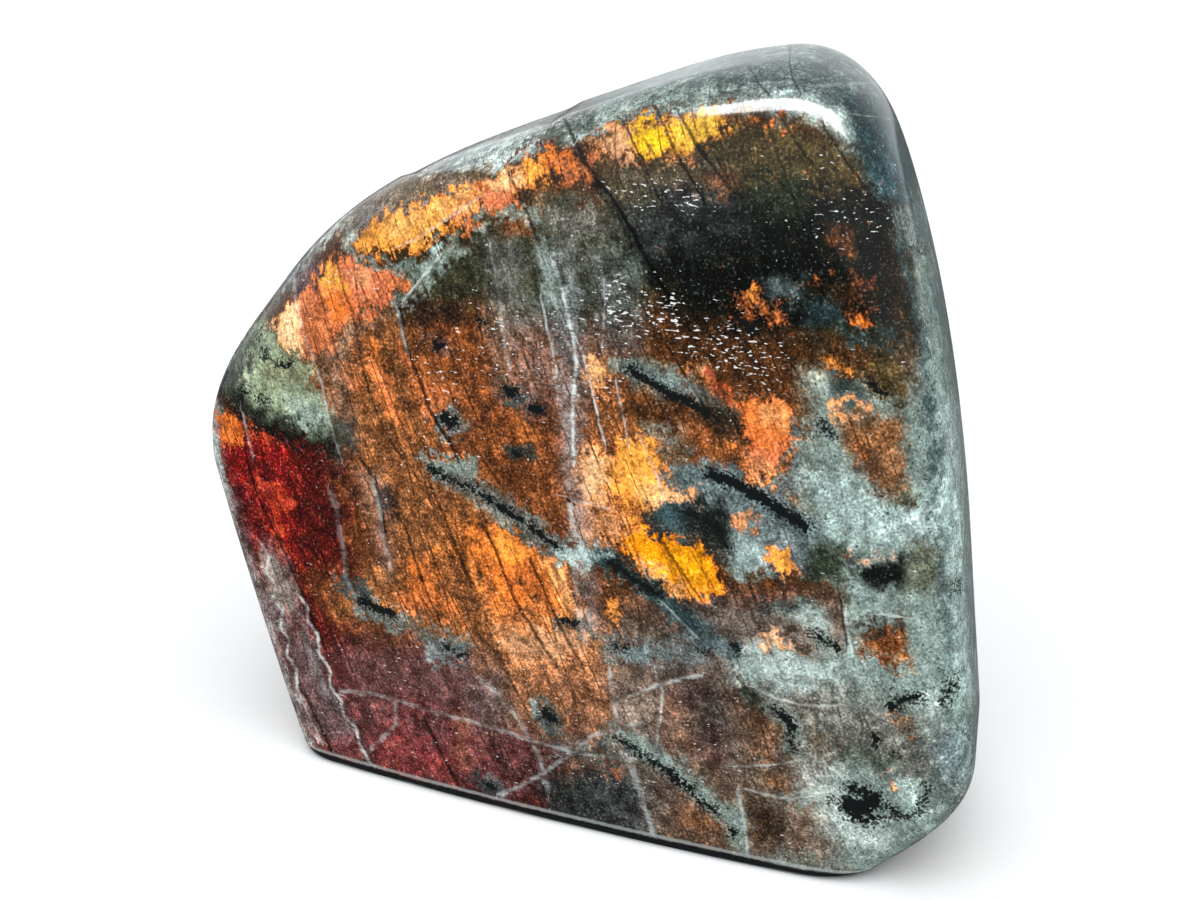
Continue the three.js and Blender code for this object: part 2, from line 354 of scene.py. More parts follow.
    "amber brown": ("amber", 0.5, 7, [(618, 492), (648, 494), (648, 522), (622, 520)]),
    "gold flash": ("gold", 1, 5, [(620, 548), (640, 530), (670, 537), (702, 544), (717, 564), (722, 592),
        (700, 600), (672, 584), (648, 562)]),
    "gold fire": ("yellow", 0.3, 8, [(660, 546), (700, 552), (716, 572), (712, 588), (684, 580),
        (662, 562)]),
    "peach under gold": ("peach", 0.7, 6, [(636, 560), (652, 564), (690, 594), (684, 604), (650, 592)]),
    "slate bay": ("slate", 0.9, 7, [(648, 502), (690, 500), (694, 537), (672, 536), (650, 528)]),
    "slate head": ("steel", 0.9, 6, [(664, 458), (700, 456), (732, 470), (732, 480), (704, 480), (680, 490),
        (668, 478)]),
    "black bay": ("night", 0.85, 7, [(674, 506), (704, 500), (732, 510), (734, 560), (704, 546),
        (684, 532)]),
    "grey patch": ("mist", 0.9, 5, [(732, 530), (768, 532), (770, 576), (736, 584), (730, 560)]),
    "orange spark": ("amber", 1, 5, [(764, 550), (780, 546), (792, 558), (800, 572), (788, 576),
        (774, 566)]),
    "tan by the vein": ("tan", 0.9, 5, [(732, 514), (756, 512), (758, 530), (736, 532)]),
    "peach dot": ("peach", 0.8, 3, [(785, 490), (796, 492), (796, 500), (786, 500)]),
    "russet below": ("brown", 0.95, 8, [(730, 584), (760, 572), (806, 572), (842, 590), (846, 640),
        (812, 604), (760, 606), (732, 602)]),
    "rust below": ("rust", 0.6, 8, [(730, 590), (790, 582), (812, 596), (760, 606)]),
    "navy line": ("slate", 0.9, 4, [(756, 602), (812, 602), (812, 611), (758, 610)]),
    "vein two halo": ("steel", 0.9, 6, [(608, 360), (642, 358), (670, 371), (704, 392), (738, 412),
        (744, 428), (716, 424), (690, 410), (660, 396), (626, 378)]),
    "garnet under vein two": ("brown", 0.9, 7, [(626, 396), (650, 390), (694, 412), (706, 428), (652, 434),
        (622, 418)]),
    "mist under vein two": ("mist", 0.6, 6, [(646, 430), (692, 430), (694, 446), (652, 446)]),
    "tan above vein two": ("tan", 0.9, 6, [(684, 356), (712, 358), (716, 384), (690, 380)]),
    "red above vein two": ("scarlet", 0.8, 6, [(706, 376), (732, 378), (740, 408), (716, 404)]),
    "orange stripes": ("orange", 0.4, 7, [(692, 432), (724, 428), (746, 424), (746, 468), (700, 462)]),
    "rust between": ("rust", 0.95, 6, [(678, 420), (716, 426), (722, 456), (690, 460)]),
    "dark by the salmon": ("umber", 0.9, 6, [(694, 398), (738, 412), (752, 424), (746, 446), (716, 438),
        (690, 416)]),
    "salmon right": ("salmon", 0.9, 7, [(748, 396), (792, 398), (796, 436), (784, 462), (762, 476),
        (744, 466)]),
    "orange in the salmon": ("orange", 0.75, 7, [(744, 398), (790, 400), (792, 446), (750, 448)]),
    "salmon fire": ("peach", 0.6, 6, [(758, 402), (786, 404), (787, 428), (762, 426)]),
    "salmon foot": ("peach", 0.5, 6, [(744, 460), (780, 460), (776, 478), (750, 478)]),
    "orange above": ("copper", 0.5, 8, [(728, 293), (760, 290), (790, 298), (790, 326), (735, 325)]),
    "brown above": ("brown", 0.6, 10, [(700, 330), (800, 330), (800, 395), (730, 390), (700, 360)]),
    "bright above": ("amber", 0.8, 4, [(743, 291), (760, 291), (760, 302), (746, 301)]),

    # The right side.
    "rust block": ("russet", 0.8, 6, [(800, 278), (858, 271), (880, 280), (872, 320), (858, 326),
        (843, 316), (826, 292)]),
    "rust block shade": ("brown", 0.6, 8, [(812, 286), (850, 282), (862, 310), (840, 312)]),
    "rust block fire": ("orange", 0.9, 3, [(853, 317), (870, 318), (867, 328), (854, 327)]),
    "olive brown": ("olive", 0.95, 8, [(816, 326), (884, 326), (886, 372), (822, 372)]),
    "brown in the olive": ("brown", 1, 8, [(824, 334), (874, 336), (874, 362), (830, 362)]),
    "sage bar": ("steel", 0.6, 6, [(758, 274), (802, 276), (802, 300), (764, 300)]),
    "sage bar right": ("slate", 0.7, 6, [(803, 296), (840, 298), (842, 326), (808, 326)]),
    "slate bar": ("slate", 0.8, 5, [(838, 328), (902, 330), (902, 347), (844, 345)]),
    "pale bar": ("mist", 0.6, 6, [(793, 366), (832, 368), (832, 396), (798, 396)]),
    "teal bar": ("slate", 0.6, 6, [(834, 380), (872, 380), (872, 402), (838, 400)]),
    "olive by the edge": ("olive", 0.8, 6, [(876, 348), (904, 350), (904, 402), (880, 400)]),
    "amber bar": ("amber", 0.7, 5, [(820, 360), (851, 361), (852, 375), (824, 375)]),
    "peach bar right": ("peach", 0.75, 5, [(826, 402), (872, 403), (872, 420), (830, 419)]),
    "tan block": ("ochre", 0.9, 7, [(840, 416), (902, 416), (906, 462), (846, 462)]),
    "tan block fire": ("orange", 0.6, 6, [(848, 448), (874, 448), (874, 464), (852, 464)]),
    "rust under the tan": ("rust", 0.8, 7, [(856, 458), (904, 460), (906, 490), (880, 492), (864, 478)]),
    "pale field": ("mist", 1, 12, [(806, 478), (850, 482), (890, 500), (960, 470), (972, 540), (900, 545),
        (835, 535)]),
    "olive spot": ("olive", 0.9, 4, [(893, 494), (916, 494), (918, 506), (897, 507)]),
    "moss block": ("moss", 0.95, 8, [(802, 545), (846, 540), (846, 580), (812, 578)]),
    "tan streak": ("tan", 0.5, 5, [(838, 549), (905, 547), (905, 559), (842, 561)]),
    "moss block right": ("night", 1, 5, [(856, 562), (906, 560), (906, 592), (868, 590)]),
    "olive column": ("olive", 0.5, 8, [(906, 545), (938, 545), (938, 600), (908, 600)]),
    "pale bar low": ("sage", 0.8, 6, [(846, 596), (940, 592), (940, 622), (850, 620)]),
    "rust foot": ("rust", 1, 5, [(856, 634), (880, 624), (904, 624), (908, 650), (900, 664), (878, 660),
        (862, 654)]),
    "rust foot top": ("umber", 0.8, 3, [(856, 628), (878, 618), (902, 617), (902, 626), (876, 630),
        (858, 636)]),
    "rust foot fire": ("ochre", 0.6, 5, [(884, 648), (906, 646), (912, 668), (896, 670)]),
    "mist hollow": ("mist", 0.7, 6, [(776, 610), (830, 608), (842, 630), (822, 640), (784, 628)]),
    "mist field": ("mist", 0.9, 8, [(732, 646), (760, 640), (800, 652), (846, 662), (840, 690), (770, 694),
        (728, 674)]),
    "cream streak": ("cream", 0.8, 4, [(752, 633), (776, 634), (791, 642), (786, 649), (764, 645)]),
    "cream dash": ("cream", 0.6, 3, [(792, 649), (806, 650), (806, 657), (794, 657)]),
    "brown edge": ("brown", 0.7, 5, [(826, 596), (846, 612), (848, 650), (836, 640), (832, 616)]),
    # Grey green of the stone, painted paler where the right face turns away from the light.
    "right edge band, painted lighter": ("mist", 0.9, 9, [(938, 400), (962, 400), (976, 600), (980, 700), (960, 700),
        (948, 560)]),

    "right rim": ("slate", 0.6, 8, [(940, 230), (966, 300), (984, 400), (958, 400), (936, 300)]),
    "steel by the salmon": ("steel", 0.8, 6, [(792, 424), (806, 440), (804, 486), (776, 506), (764, 490),
        (790, 466)]),

    # The foot of the stone, from left to right.
    "rose foot": ("rose", 0.8, 5, [(378, 742), (398, 740), (404, 768), (384, 764)]),
    "rose foot right": ("rose", 0.6, 8, [(426, 762), (460, 760), (470, 788), (436, 782)]),
    "garnet block left": ("garnet", 0.6, 7, [(356, 704), (394, 706), (394, 734), (362, 736)]),
    "garnet block": ("garnet", 0.7, 8, [(402, 712), (446, 714), (450, 744), (410, 742)]),
    "rust foot left": ("rust", 0.7, 6, [(452, 716), (470, 718), (474, 772), (458, 764)]),
    "maroon square": ("maroon", 1, 6, [(482, 734), (530, 738), (540, 772), (530, 784), (486, 780)]),
    "rust triangle": ("rust", 0.8, 5, [(566, 752), (600, 756), (618, 758), (620, 776), (560, 778)]),
    "copper triangle": ("copper", 0.7, 4, [(600, 757), (617, 758), (619, 774), (604, 774)]),
    "garnet foot": ("garnet", 0.95, 6, [(524, 786), (560, 784), (566, 806), (530, 802)]),
    "black foot": ("night", 1, 12, [(540, 780), (600, 770), (640, 782), (650, 836), (560, 826)]),
    "slate foot": ("slate", 0.7, 8, [(546, 742), (610, 744), (616, 756), (560, 754)]),
    "taupe block": ("taupe", 0.9, 7, [(618, 692), (656, 690), (658, 728), (626, 730)]),
    "rust square": ("rust", 0.5, 5, [(662, 686), (684, 682), (692, 720), (664, 722)]),
    "rust square low": ("rust", 0.5, 5, [(660, 726), (692, 724), (698, 752), (666, 750)]),
    "garnet square": ("garnet", 0.8, 6, [(684, 680), (704, 682), (704, 704), (688, 704)]),
    "garnet square low": ("garnet", 0.8, 5, [(700, 724), (722, 728), (722, 756), (702, 752)]),
    "umber block": ("umber", 0.6, 8, [(700, 688), (740, 686), (740, 730), (706, 728)]),
    "ochre by the vein": ("ochre", 0.35, 8, [(686, 752), (722, 752), (724, 780), (700, 780)]),
    "pale vein": ("sage", 0.95, 6, [(604, 728), (640, 734), (668, 750), (694, 775), (722, 800), (748, 800),
        (750, 852), (732, 850), (722, 822), (700, 802), (668, 778), (636, 758), (608, 744)]),
    "ochre foot": ("ochre", 0.5, 7, [(672, 800), (700, 806), (716, 826), (704, 834), (678, 826)]),
    "brown foot": ("bark", 0.8, 7, [(684, 828), (728, 836), (728, 850), (690, 842)]),
    "brown corner": ("bark", 0.9, 8, [(750, 800), (800, 806), (830, 822), (820, 860), (754, 856)]),
    "dark corner": ("umber", 0.7, 7, [(752, 806), (778, 806), (780, 842), (754, 842)]),
    "taupe corner": ("taupe", 0.7, 8, [(796, 830), (838, 838), (840, 860), (800, 858)]),
    "rust patch": ("rust", 0.6, 6, [(744, 742), (778, 740), (786, 758), (756, 762)]),
    "rust patch low": ("rust", 0.8, 5, [(764, 774), (790, 774), (792, 792), (770, 792)]),
    "brown patches": ("brown", 0.8, 7, [(728, 700), (756, 706), (780, 730), (760, 738), (732, 728)]),
    "moss streak": ("moss", 0.9, 4, [(736, 684), (756, 692), (766, 706), (756, 710), (742, 698)]),
    "bark low": ("bark", 0.7, 8, [(770, 750), (822, 752), (826, 792), (776, 792)]),
    "brown oval": ("brown", 0.6, 6, [(806, 736), (834, 736), (838, 746), (812, 748)]),
    "ochre dash": ("ochre", 0.7, 5, [(802, 808), (828, 808), (830, 818), (806, 818)]),
    "tan near the edge": ("tan", 0.7, 5, [(884, 708), (906, 712), (912, 722), (890, 720)]),
    "ochre near the edge": ("ochre", 0.8, 4, [(900, 720), (916, 724), (914, 734), (902, 732)]),
    "moss near the edge": ("moss", 0.6, 6, [(836, 750), (896, 754), (896, 764), (840, 764)]),
    "cream dot": ("cream", 0.8, 3, [(884, 776), (894, 777), (894, 784), (886, 784)]),
    "mist by the mass": ("mist", 0.8, 7, [(900, 782), (930, 786), (928, 806), (902, 806)]),
    "mist foot": ("pale", 0.75, 12, [(800, 762), (838, 770), (842, 800), (860, 826), (905, 824), (880, 850),
        (830, 842), (806, 800)]),
    "steel corner": ("steel", 0.8, 10, [(930, 740), (975, 720), (972, 770), (940, 800)]),
}

# Black grains and cores, each a run of pixels with its half width.
grains = {
    "large eye": (8, [(444, 418), (452, 422)]),
    "small eye": (4.5, [(436, 346), (442, 346)]),
    "upper eye": (4, [(477, 321), (484, 323)]),
    "middle eye": (7, [(509, 391), (513, 393)]),
    "right eye": (5.5, [(531, 408), (542, 410)]),
    "low eye": (2.6, [(515, 454), (529, 456)]),
    "vein one core": (3.6, [(428, 466), (446, 478), (470, 487), (498, 505), (520, 520), (545, 537),
        (558, 547)]),
    "vein one swelling": (4.5, [(496, 503), (516, 517)]),
    "vein two core": (5, [(629, 370), (646, 380), (666, 392), (690, 403), (706, 412)]),
    "veil dot": (2.6, [(568, 500), (573, 502)]),
    "low left streak": (5, [(362, 601), (380, 609), (392, 614)]),
    "haze dots": (2.6, [(445, 645), (452, 650)]),
    "haze dots low": (2.6, [(460, 655), (466, 655)]),
    "tail dot": (4, [(562, 620), (577, 623)]),
    "tail dot right": (2.6, [(612, 647), (627, 649)]),
    "tail dot far": (2, [(700, 650), (707, 651)]),
    "dark vein": (6.5, [(709, 473), (736, 483), (765, 500), (806, 527)]),
    "dark vein low": (3, [(772, 510), (806, 530)]),
    "bay edge": (3.2, [(688, 512), (712, 522), (729, 548)]),
    "tail core": (4.5, [(610, 563), (636, 580), (660, 596)]),
    "band bug": (2.2, [(911, 248), (925, 251)]),
    "orange bug": (4.5, [(743, 322), (755, 334)]),
    "pale bug": (3.6, [(868, 378), (876, 390), (887, 394)]),
    "pale dot": (2, [(898, 347), (904, 347)]),
    "pale dot right": (1.6, [(913, 353), (921, 353)]),
    "sage bug": (2.6, [(821, 422), (832, 437)]),
    "hollow bug": (2.8, [(808, 632), (816, 633), (822, 640), (839, 648)]),
    "field bug": (3.6, [(733, 645), (738, 650)]),
    "edge bug": (2, [(957, 582), (958, 590)]),
    "foot eye": (5.5, [(544, 711), (552, 718)]),
    "foot eye low": (5, [(488, 786), (493, 787)]),
    "leg": (4, [(775, 709), (788, 720), (794, 727)]),
    "leg low": (3.5, [(789, 732), (790, 740), (796, 748)]),
    "right dot": (4.5, [(875, 738), (876, 742)]),
    "right dash": (1.6, [(893, 752), (900, 752)]),
    "moth": (4.5, [(892, 707), (905, 699), (920, 697)]),
    "moth right": (4.5, [(954, 681), (948, 692), (945, 704)]),
    "mass": (9, [(848, 804), (862, 808), (874, 800)]),
    "mass top": (5, [(850, 788), (866, 792)]),
    "mass foot": (4, [(850, 816), (864, 820), (876, 818)]),
    "mass right": (3, [(884, 804), (896, 812)]),
    "mass line": (1.2, [(876, 818), (905, 816), (922, 812)]),
    "mass hook": (2.4, [(926, 787), (929, 794), (919, 804)]),
    "mass dot": (1.8, [(830, 798), (831, 801)]),
    "foot vein core": (2.8, [(615, 737), (630, 747), (650, 760), (675, 780), (700, 800), (715, 812)]),
    "foot vein swelling": (4.5, [(668, 771), (690, 790)]),
    "foot dot": (3.6, [(731, 829), (733, 833)]),
    "shoulder grains": (2.2, [(262, 330), (260, 333)]),
    "shoulder grains two": (2.4, [(253, 341), (251, 343)]),
    "shoulder grains three": (2.4, [(264, 352), (266, 357)]),
    "shoulder grains four": (2.8, [(240, 386), (246, 394)]),
    "shoulder grains five": (2.6, [(258, 398), (267, 401)]),
    "shoulder grains six": (2.2, [(278, 365), (290, 364)]),
    "corner dot": (3.6, [(869, 184), (873, 188)]),
}

# Haloes round the grains and veins: palette name, strength, half width and the run of pixels.
haloes = {
    "shoulder shade": ("night", 0.6, 5, [(238, 396), (262, 426), (300, 441), (338, 454)]),
    "great crack shade": ("night", 0.6, 7, [(597, 182), (628, 226), (650, 262), (676, 308)]),
    "ridge line": ("slate", 0.6, 4, [(896, 240), (922, 335), (928, 400), (934, 470)]),
    "ridge line low": ("slate", 0.35, 4, [(934, 470), (940, 560), (946, 640), (944, 720)]),
    "large eye": ("steel", 0.8, 13, [(444, 419), (454, 421)]),
    "middle eye": ("slate", 0.8, 11, [(509, 391), (514, 393)]),
    "right eye": ("plum", 0.8, 10, [(529, 408), (544, 410)]),
    "low eye": ("slate", 0.7, 7, [(514, 452), (530, 455)]),
    "small eye": ("plum", 0.6, 8, [(434, 346), (444, 346)]),
    "vein one": ("steel", 0.75, 10, [(432, 466), (446, 474), (470, 485), (500, 507), (520, 520), (545, 537),
        (560, 548)]),
    "vein one head": ("sage", 0.9, 9, [(428, 462), (470, 466)]),
    "vein one patch": ("mist", 1, 11, [(566, 556), (586, 556), (602, 558)]),
    "tail": ("slate", 0.9, 10, [(604, 562), (640, 582), (670, 606), (710, 640), (730, 652)]),
    "tail shade": ("night", 0.4, 8, [(612, 566), (642, 580)]),
    "low left streak": ("steel", 0.8, 9, [(362, 608), (380, 614), (402, 618)]),
    "low left slate": ("slate", 0.8, 9, [(345, 582), (366, 590)]),
    "low left tail": ("ash", 0.7, 7, [(402, 620), (430, 630), (468, 642)]),
    "haze": ("steel", 0.8, 12, [(434, 646), (462, 650)]),
    "haze right": ("ash", 0.7, 9, [(560, 622), (592, 624)]),
    "haze low": ("steel", 0.7, 10, [(608, 648), (636, 650)]),
    "haze far": ("steel", 0.7, 12, [(640, 652), (700, 652)]),
    "dark vein": ("steel", 0.6, 12, [(704, 468), (736, 482), (765, 500), (806, 526)]),
    "foot eye": ("slate", 0.7, 12, [(542, 712), (554, 724)]),
    "foot eye pale": ("mist", 0.7, 5, [(536, 706), (538, 714)]),
    "foot eye low": ("slate", 0.8, 10, [(484, 784), (496, 790)]),
    "leg": ("sage", 0.6, 12, [(776, 710), (792, 726), (794, 746)]),
    "moth": ("pale", 0.5, 8, [(922, 700), (940, 700)]),
    "mist strand": ("mist", 0.6, 9, [(546, 246), (550, 274), (552, 300)]),
    "mist curve": ("mist", 0.6, 6, [(470, 232), (488, 217), (505, 211), (525, 213), (542, 222)]),
    "mist bridge": ("mist", 0.55, 7, [(456, 247), (430, 272), (397, 308)]),
    "veil by vein two": ("sage", 0.6, 7, [(612, 366), (650, 366), (672, 376)]),
}

# Dark cleavage cracks from left to right: half width, strength and pixels.
cracks = {
    "flake": (1.6, 0.9, [(244, 440), (252, 480), (262, 505), (274, 530), (284, 550), (293, 574), (302, 594),
        (314, 622), (326, 650)]),
    "flake foot": (1.6, 0.9, [(360, 742), (372, 764), (380, 776)]),
    "red hair": (1, 0.6, [(240, 412), (246, 440), (252, 470)]),
    "flake left": (1.8, 0.9, [(297, 680), (310, 705), (322, 730), (332, 752)]),
    "shoulder": (1.3, 0.6, [(318, 285), (330, 325), (340, 365), (350, 400), (362, 445)]),
    "shoulder right": (1.5, 0.7, [(335, 245), (337, 265), (344, 290), (354, 320), (361, 355), (372, 400),
        (384, 430), (402, 460)]),
    "dark eye": (1.8, 0.9, [(362, 460), (375, 480), (384, 520), (386, 532)]),
    "heart left": (1.3, 0.6, [(390, 355), (397, 385), (413, 425), (432, 460)]),
    "long one": (2.4, 1, [(399, 305), (403, 335), (413, 365), (421, 385), (433, 415), (449, 440),
        (458, 460)]),
    "low hair": (1.2, 0.5, [(363, 545), (376, 585), (396, 592)]),
    "flank": (1.6, 0.8, [(405, 525), (412, 550), (428, 595), (440, 622)]),
    "flank hair": (1.2, 0.5, [(425, 530), (440, 580), (462, 630)]),
    "flank right": (2, 0.9, [(430, 485), (448, 525), (463, 565), (473, 584)]),
    "heart hair": (1.3, 0.6, [(450, 350), (463, 385), (474, 410)]),
    "field hair": (1.2, 0.5, [(480, 545), (497, 590)]),
    "field": (2, 0.9, [(483, 525), (496, 550), (515, 600), (530, 625), (552, 660)]),
    "field hair right": (1.2, 0.6, [(548, 575), (570, 615)]),
    "field right": (2, 0.9, [(530, 560), (550, 605), (570, 645), (583, 668)]),
    "strip": (1.6, 0.7, [(505, 167), (514, 185), (530, 218), (541, 246)]),
    "strip right": (1.3, 0.6, [(542, 145), (555, 178), (568, 202)]),
    "great crack": (2.6, 1, [(566, 122), (580, 154), (597, 180), (614, 202), (630, 228), (648, 262),
        (674, 306)]),
    "great crack branch": (1.4, 0.6, [(617, 212), (624, 230), (632, 248)]),
    "tan hair": (1.3, 0.6, [(600, 134), (608, 150), (618, 165)]),
    "yellow left": (1.6, 0.8, [(622, 120), (643, 160), (655, 190), (662, 204)]),
    "yellow middle": (2.1, 0.9, [(656, 108), (672, 145), (690, 177), (704, 200)]),
    "yellow right": (2.4, 0.9, [(679, 114), (700, 150), (729, 187)]),
    "crown hair": (1.3, 0.6, [(716, 158), (730, 182)]),
    "crown": (1.6, 0.8, [(768, 170), (795, 200)]),
    "crown right": (1.7, 0.8, [(782, 116), (800, 148), (813, 164)]),
    "crown far": (1.6, 0.8, [(820, 120), (845, 160), (870, 195), (881, 207)]),
    "right hair": (1.5, 0.7, [(800, 265), (815, 285), (830, 300), (850, 325)]),
    "veil hair": (1.2, 0.5, [(620, 520), (628, 560), (645, 600)]),
    "gold cut": (1.8, 0.8, [(664, 543), (682, 572), (701, 600)]),
    "gold cut right": (1.3, 0.6, [(688, 545), (702, 570), (716, 592)]),
    "foot": (1.9, 0.9, [(425, 718), (440, 750), (458, 784)]),
    "foot flat": (1.3, 0.5, [(485, 650), (520, 655), (585, 663)]),
    "top left": (1.4, 0.7, [(750, 68), (760, 85), (771, 99)]),
    "top": (1.5, 0.8, [(790, 46), (790, 65), (793, 80), (800, 93)]),
    "right low": (1.8, 0.8, [(838, 590), (843, 615), (847, 645)]),
    "amber cut": (1.2, 0.5, [(700, 400), (716, 430), (726, 458)]),
    "peach cut": (1.2, 0.5, [(592, 450), (604, 480), (612, 506)]),
    "sparkle cut": (1.4, 0.6, [(716, 300), (742, 340), (776, 392)]),
    "sparkle cut right": (1.4, 0.6, [(744, 290), (772, 334), (806, 386)]),
}

# Pale strands and healed cracks, and one streak of painted reflection on the top face: half width, strength
# and pixels.
strands = {
    "red top": (1.4, 0.4, [(243, 415), (247, 435), (254, 460)]),
    "flake edge": (1.8, 0.8, [(262, 545), (270, 557), (267, 572), (276, 584), (273, 600), (283, 610),
        (280, 626), (289, 640), (287, 656), (296, 668), (297, 686)]),
    "flake edge low": (1, 0.4, [(297, 686), (306, 710), (320, 738)]),
    "flake inner edge": (2, 0.85, [(296, 592), (306, 606), (308, 622), (318, 634), (319, 652), (330, 668),
        (331, 686), (341, 700), (344, 716), (356, 728), (359, 744), (369, 760)]),
    "shoulder": (1.8, 0.35, [(294, 270), (295, 300), (300, 320), (306, 345), (314, 362)]),
    "eye vein": (2.6, 0.4, [(372, 480), (380, 510), (383, 535), (388, 555), (391, 568)]),
    "low vein": (3, 0.2, [(330, 490), (338, 510), (342, 540), (346, 575), (355, 600)]),
    "shoulder right": (1.6, 0.5, [(318, 372), (326, 405), (334, 440), (342, 460)]),
    "long one": (2, 0.55, [(396, 304), (399, 318), (403, 336), (408, 354)]),
    "bridge edge": (1.6, 0.7, [(440, 258), (420, 280), (403, 300)]),
    "strip line": (2, 0.5, [(478, 198), (445, 220), (415, 240), (400, 246)]),
    "veil left": (2, 0.35, [(490, 245), (500, 300), (502, 330), (512, 375)]),
    "veil": (1.6, 0.6, [(540, 296), (548, 330), (556, 370), (557, 398)]),
    "great strand": (2.4, 1, [(553, 262), (560, 285), (567, 310), (571, 330), (576, 360), (573, 400),
        (573, 430), (575, 462)]),
    "great strand branch": (1.5, 0.85, [(569, 325), (583, 355), (591, 385), (600, 425), (605, 442)]),
    "veil right": (1.4, 0.35, [(602, 268), (605, 300), (603, 342)]),
    "veil far right": (1.4, 0.5, [(615, 380), (620, 400), (629, 446)]),
    "fork": (3, 0.7, [(570, 503), (572, 525), (579, 542)]),
    "fork top": (2, 0.5, [(566, 498), (586, 503), (606, 508)]),
    "tan line": (1.8, 0.6, [(580, 138), (600, 127), (616, 115), (632, 101)]),
    "corner line": (1, 0.35, [(845, 113), (870, 116), (897, 120)]),
    "foot long": (2.4, 0.4, [(340, 690), (400, 700), (440, 715), (475, 722), (500, 730), (545, 745),
        (590, 755), (620, 757)]),
    "foot branch": (3, 0.3, [(395, 703), (396, 725), (370, 750)]),
    "foot veil": (3, 0.35, [(482, 680), (503, 700), (522, 725), (540, 760), (548, 792)]),
    "foot cross": (3, 0.38, [(503, 795), (540, 775), (575, 752), (592, 736), (640, 722)]),
    "taupe line": (2.6, 0.5, [(620, 700), (640, 692), (661, 683), (700, 675)]),
    "taupe edge": (2, 0.6, [(655, 672), (662, 692), (660, 720), (656, 745)]),
    "foot column": (3, 0.5, [(610, 672), (614, 700), (618, 732)]),
    "foot column low": (4, 0.45, [(630, 762), (642, 798), (654, 836)]),
    "white dash": (1.8, 0.9, [(758, 690), (775, 697), (793, 702)]),
    "white dash tail": (1.6, 0.5, [(793, 702), (820, 706), (842, 705)]),
    "corner strand": (2.4, 0.5, [(738, 790), (745, 826), (748, 856)]),
    "bar dash": (1.8, 0.8, [(882, 614), (898, 616)]),
    "right low": (2, 0.8, [(845, 610), (848, 632), (852, 650)]),
    "foot arc": (1.6, 0.5, [(735, 766), (770, 765), (800, 761)]),
    "foot arc low": (1.6, 0.5, [(745, 789), (790, 800), (832, 790)]),
    "middle edge": (1.3, 0.3, [(640, 560), (660, 600), (700, 640)]),
    "centre column": (3, 0.25, [(574, 566), (576, 600), (584, 640)]),
    # Painted reflection: a pale streak across the top face.
    "top reflection dash, painted": (2, 0.4, [(768, 82), (815, 85), (862, 84)]),
    "amber veil": (2, 0.4, [(640, 440), (655, 470), (664, 498)]),
}

# Painted highlights: where short white glints of reflected light show, with how thick they lie.
glints = {
    "brightest": (1, 18, [(690, 330), (735, 318), (790, 350), (790, 392), (748, 392), (706, 366)]),
    "upper middle": (1, 20, [(600, 280), (670, 290), (740, 350), (720, 370), (640, 340), (600, 326)]),
    "by the great strand": (0.8, 12, [(578, 330), (640, 345), (640, 362), (580, 352)]),
    "veil": (0.6, 8, [(574, 262), (606, 262), (604, 280), (576, 280)]),
    "veil left": (0.5, 8, [(480, 262), (500, 264), (497, 298), (482, 296)]),
    "veil bar": (0.6, 6, [(574, 342), (624, 342), (624, 356), (576, 356)]),
    "crown": (0.6, 20, [(800, 184), (886, 188), (884, 242), (806, 242)]),
    "crown left": (0.7, 20, [(590, 176), (700, 156), (720, 215), (655, 222)]),
    "strip foot": (0.5, 10, [(556, 220), (596, 222), (596, 242), (558, 240)]),
    "crown top": (0.5, 10, [(812, 126), (844, 160), (840, 180), (816, 174)]),
    "middle": (0.6, 20, [(470, 300), (640, 300), (640, 400), (480, 400)]),
    "foot": (0.25, 30, [(330, 640), (700, 660), (760, 760), (700, 830), (380, 760)]),
    "left heart": (0.55, 20, [(400, 330), (470, 330), (470, 480), (410, 470)]),
}

# Thin milky films under the polish, streaked across.
veils = {
    "great veil": (0.34, 12, [(536, 244), (566, 244), (582, 300), (588, 400), (582, 468), (568, 468),
        (556, 400), (546, 330)]),
    "left veil": (0.12, 16, [(486, 240), (520, 240), (524, 330), (506, 390), (492, 330)]),
    "ladder": (0.16, 18, [(500, 296), (572, 300), (576, 400), (508, 400)]),
    "right veil": (0.2, 18, [(588, 252), (640, 252), (640, 352), (596, 352)]),
    "wine veil": (0.06, 26, [(330, 650), (620, 640), (640, 730), (520, 800), (350, 760)]),
    "foot veil": (0.08, 26, [(590, 620), (740, 640), (760, 760), (640, 850), (560, 800)]),
    "shoulder veil": (0.1, 14, [(318, 360), (345, 335), (362, 440), (340, 462)]),
    "middle column": (0.25, 10, [(566, 460), (590, 460), (602, 640), (578, 650)]),
    "crown veil": (0.05, 22, [(600, 160), (720, 150), (740, 230), (640, 260)]),
    "right veil low": (0.15, 20, [(700, 600), (850, 600), (850, 700), (720, 680)]),
    "eye film": (0.1, 10, [(356, 470), (384, 470), (396, 575), (384, 580)]),
    "flake film": (0.22, 7, [(262, 535), (283, 548), (293, 570), (293, 600), (318, 645), (335, 690),
        (360, 735), (345, 735), (322, 690), (300, 650), (280, 625), (270, 590)]),
}


# How the marks are laid on the stone, in pixels. Waves are the size of the lumps, in millimetres, that
# push the painted edges about, and how many pixels they push them.
painting = {
    "softness": 1.5,
    "wideWaves": (8, 7),
    "shortWaves": (2.4, 5),
    "slideAlong": (0.4, 0.92),
    "areaMargin": 20,
    "haloMargin": 16,
    "haloReach": 1.4,
    "haloEdge": 0.8,
    "lineMargin": 24,
    "lineDrift": 0.15,
    "lineSeed": 22,
    "lineEnd": 8,
    "mostWidths": 20,
    "grainMargin": 16,
    "grainReach": 14,
    "leastGlint": 0.06,
    "plainGrit": 0.2,
}

# The two paintings that the stone's grain mingles: the seed of each and how far it slides.
paintings = {
    "First": (2, 5),
    "Second": (12, -5),
}

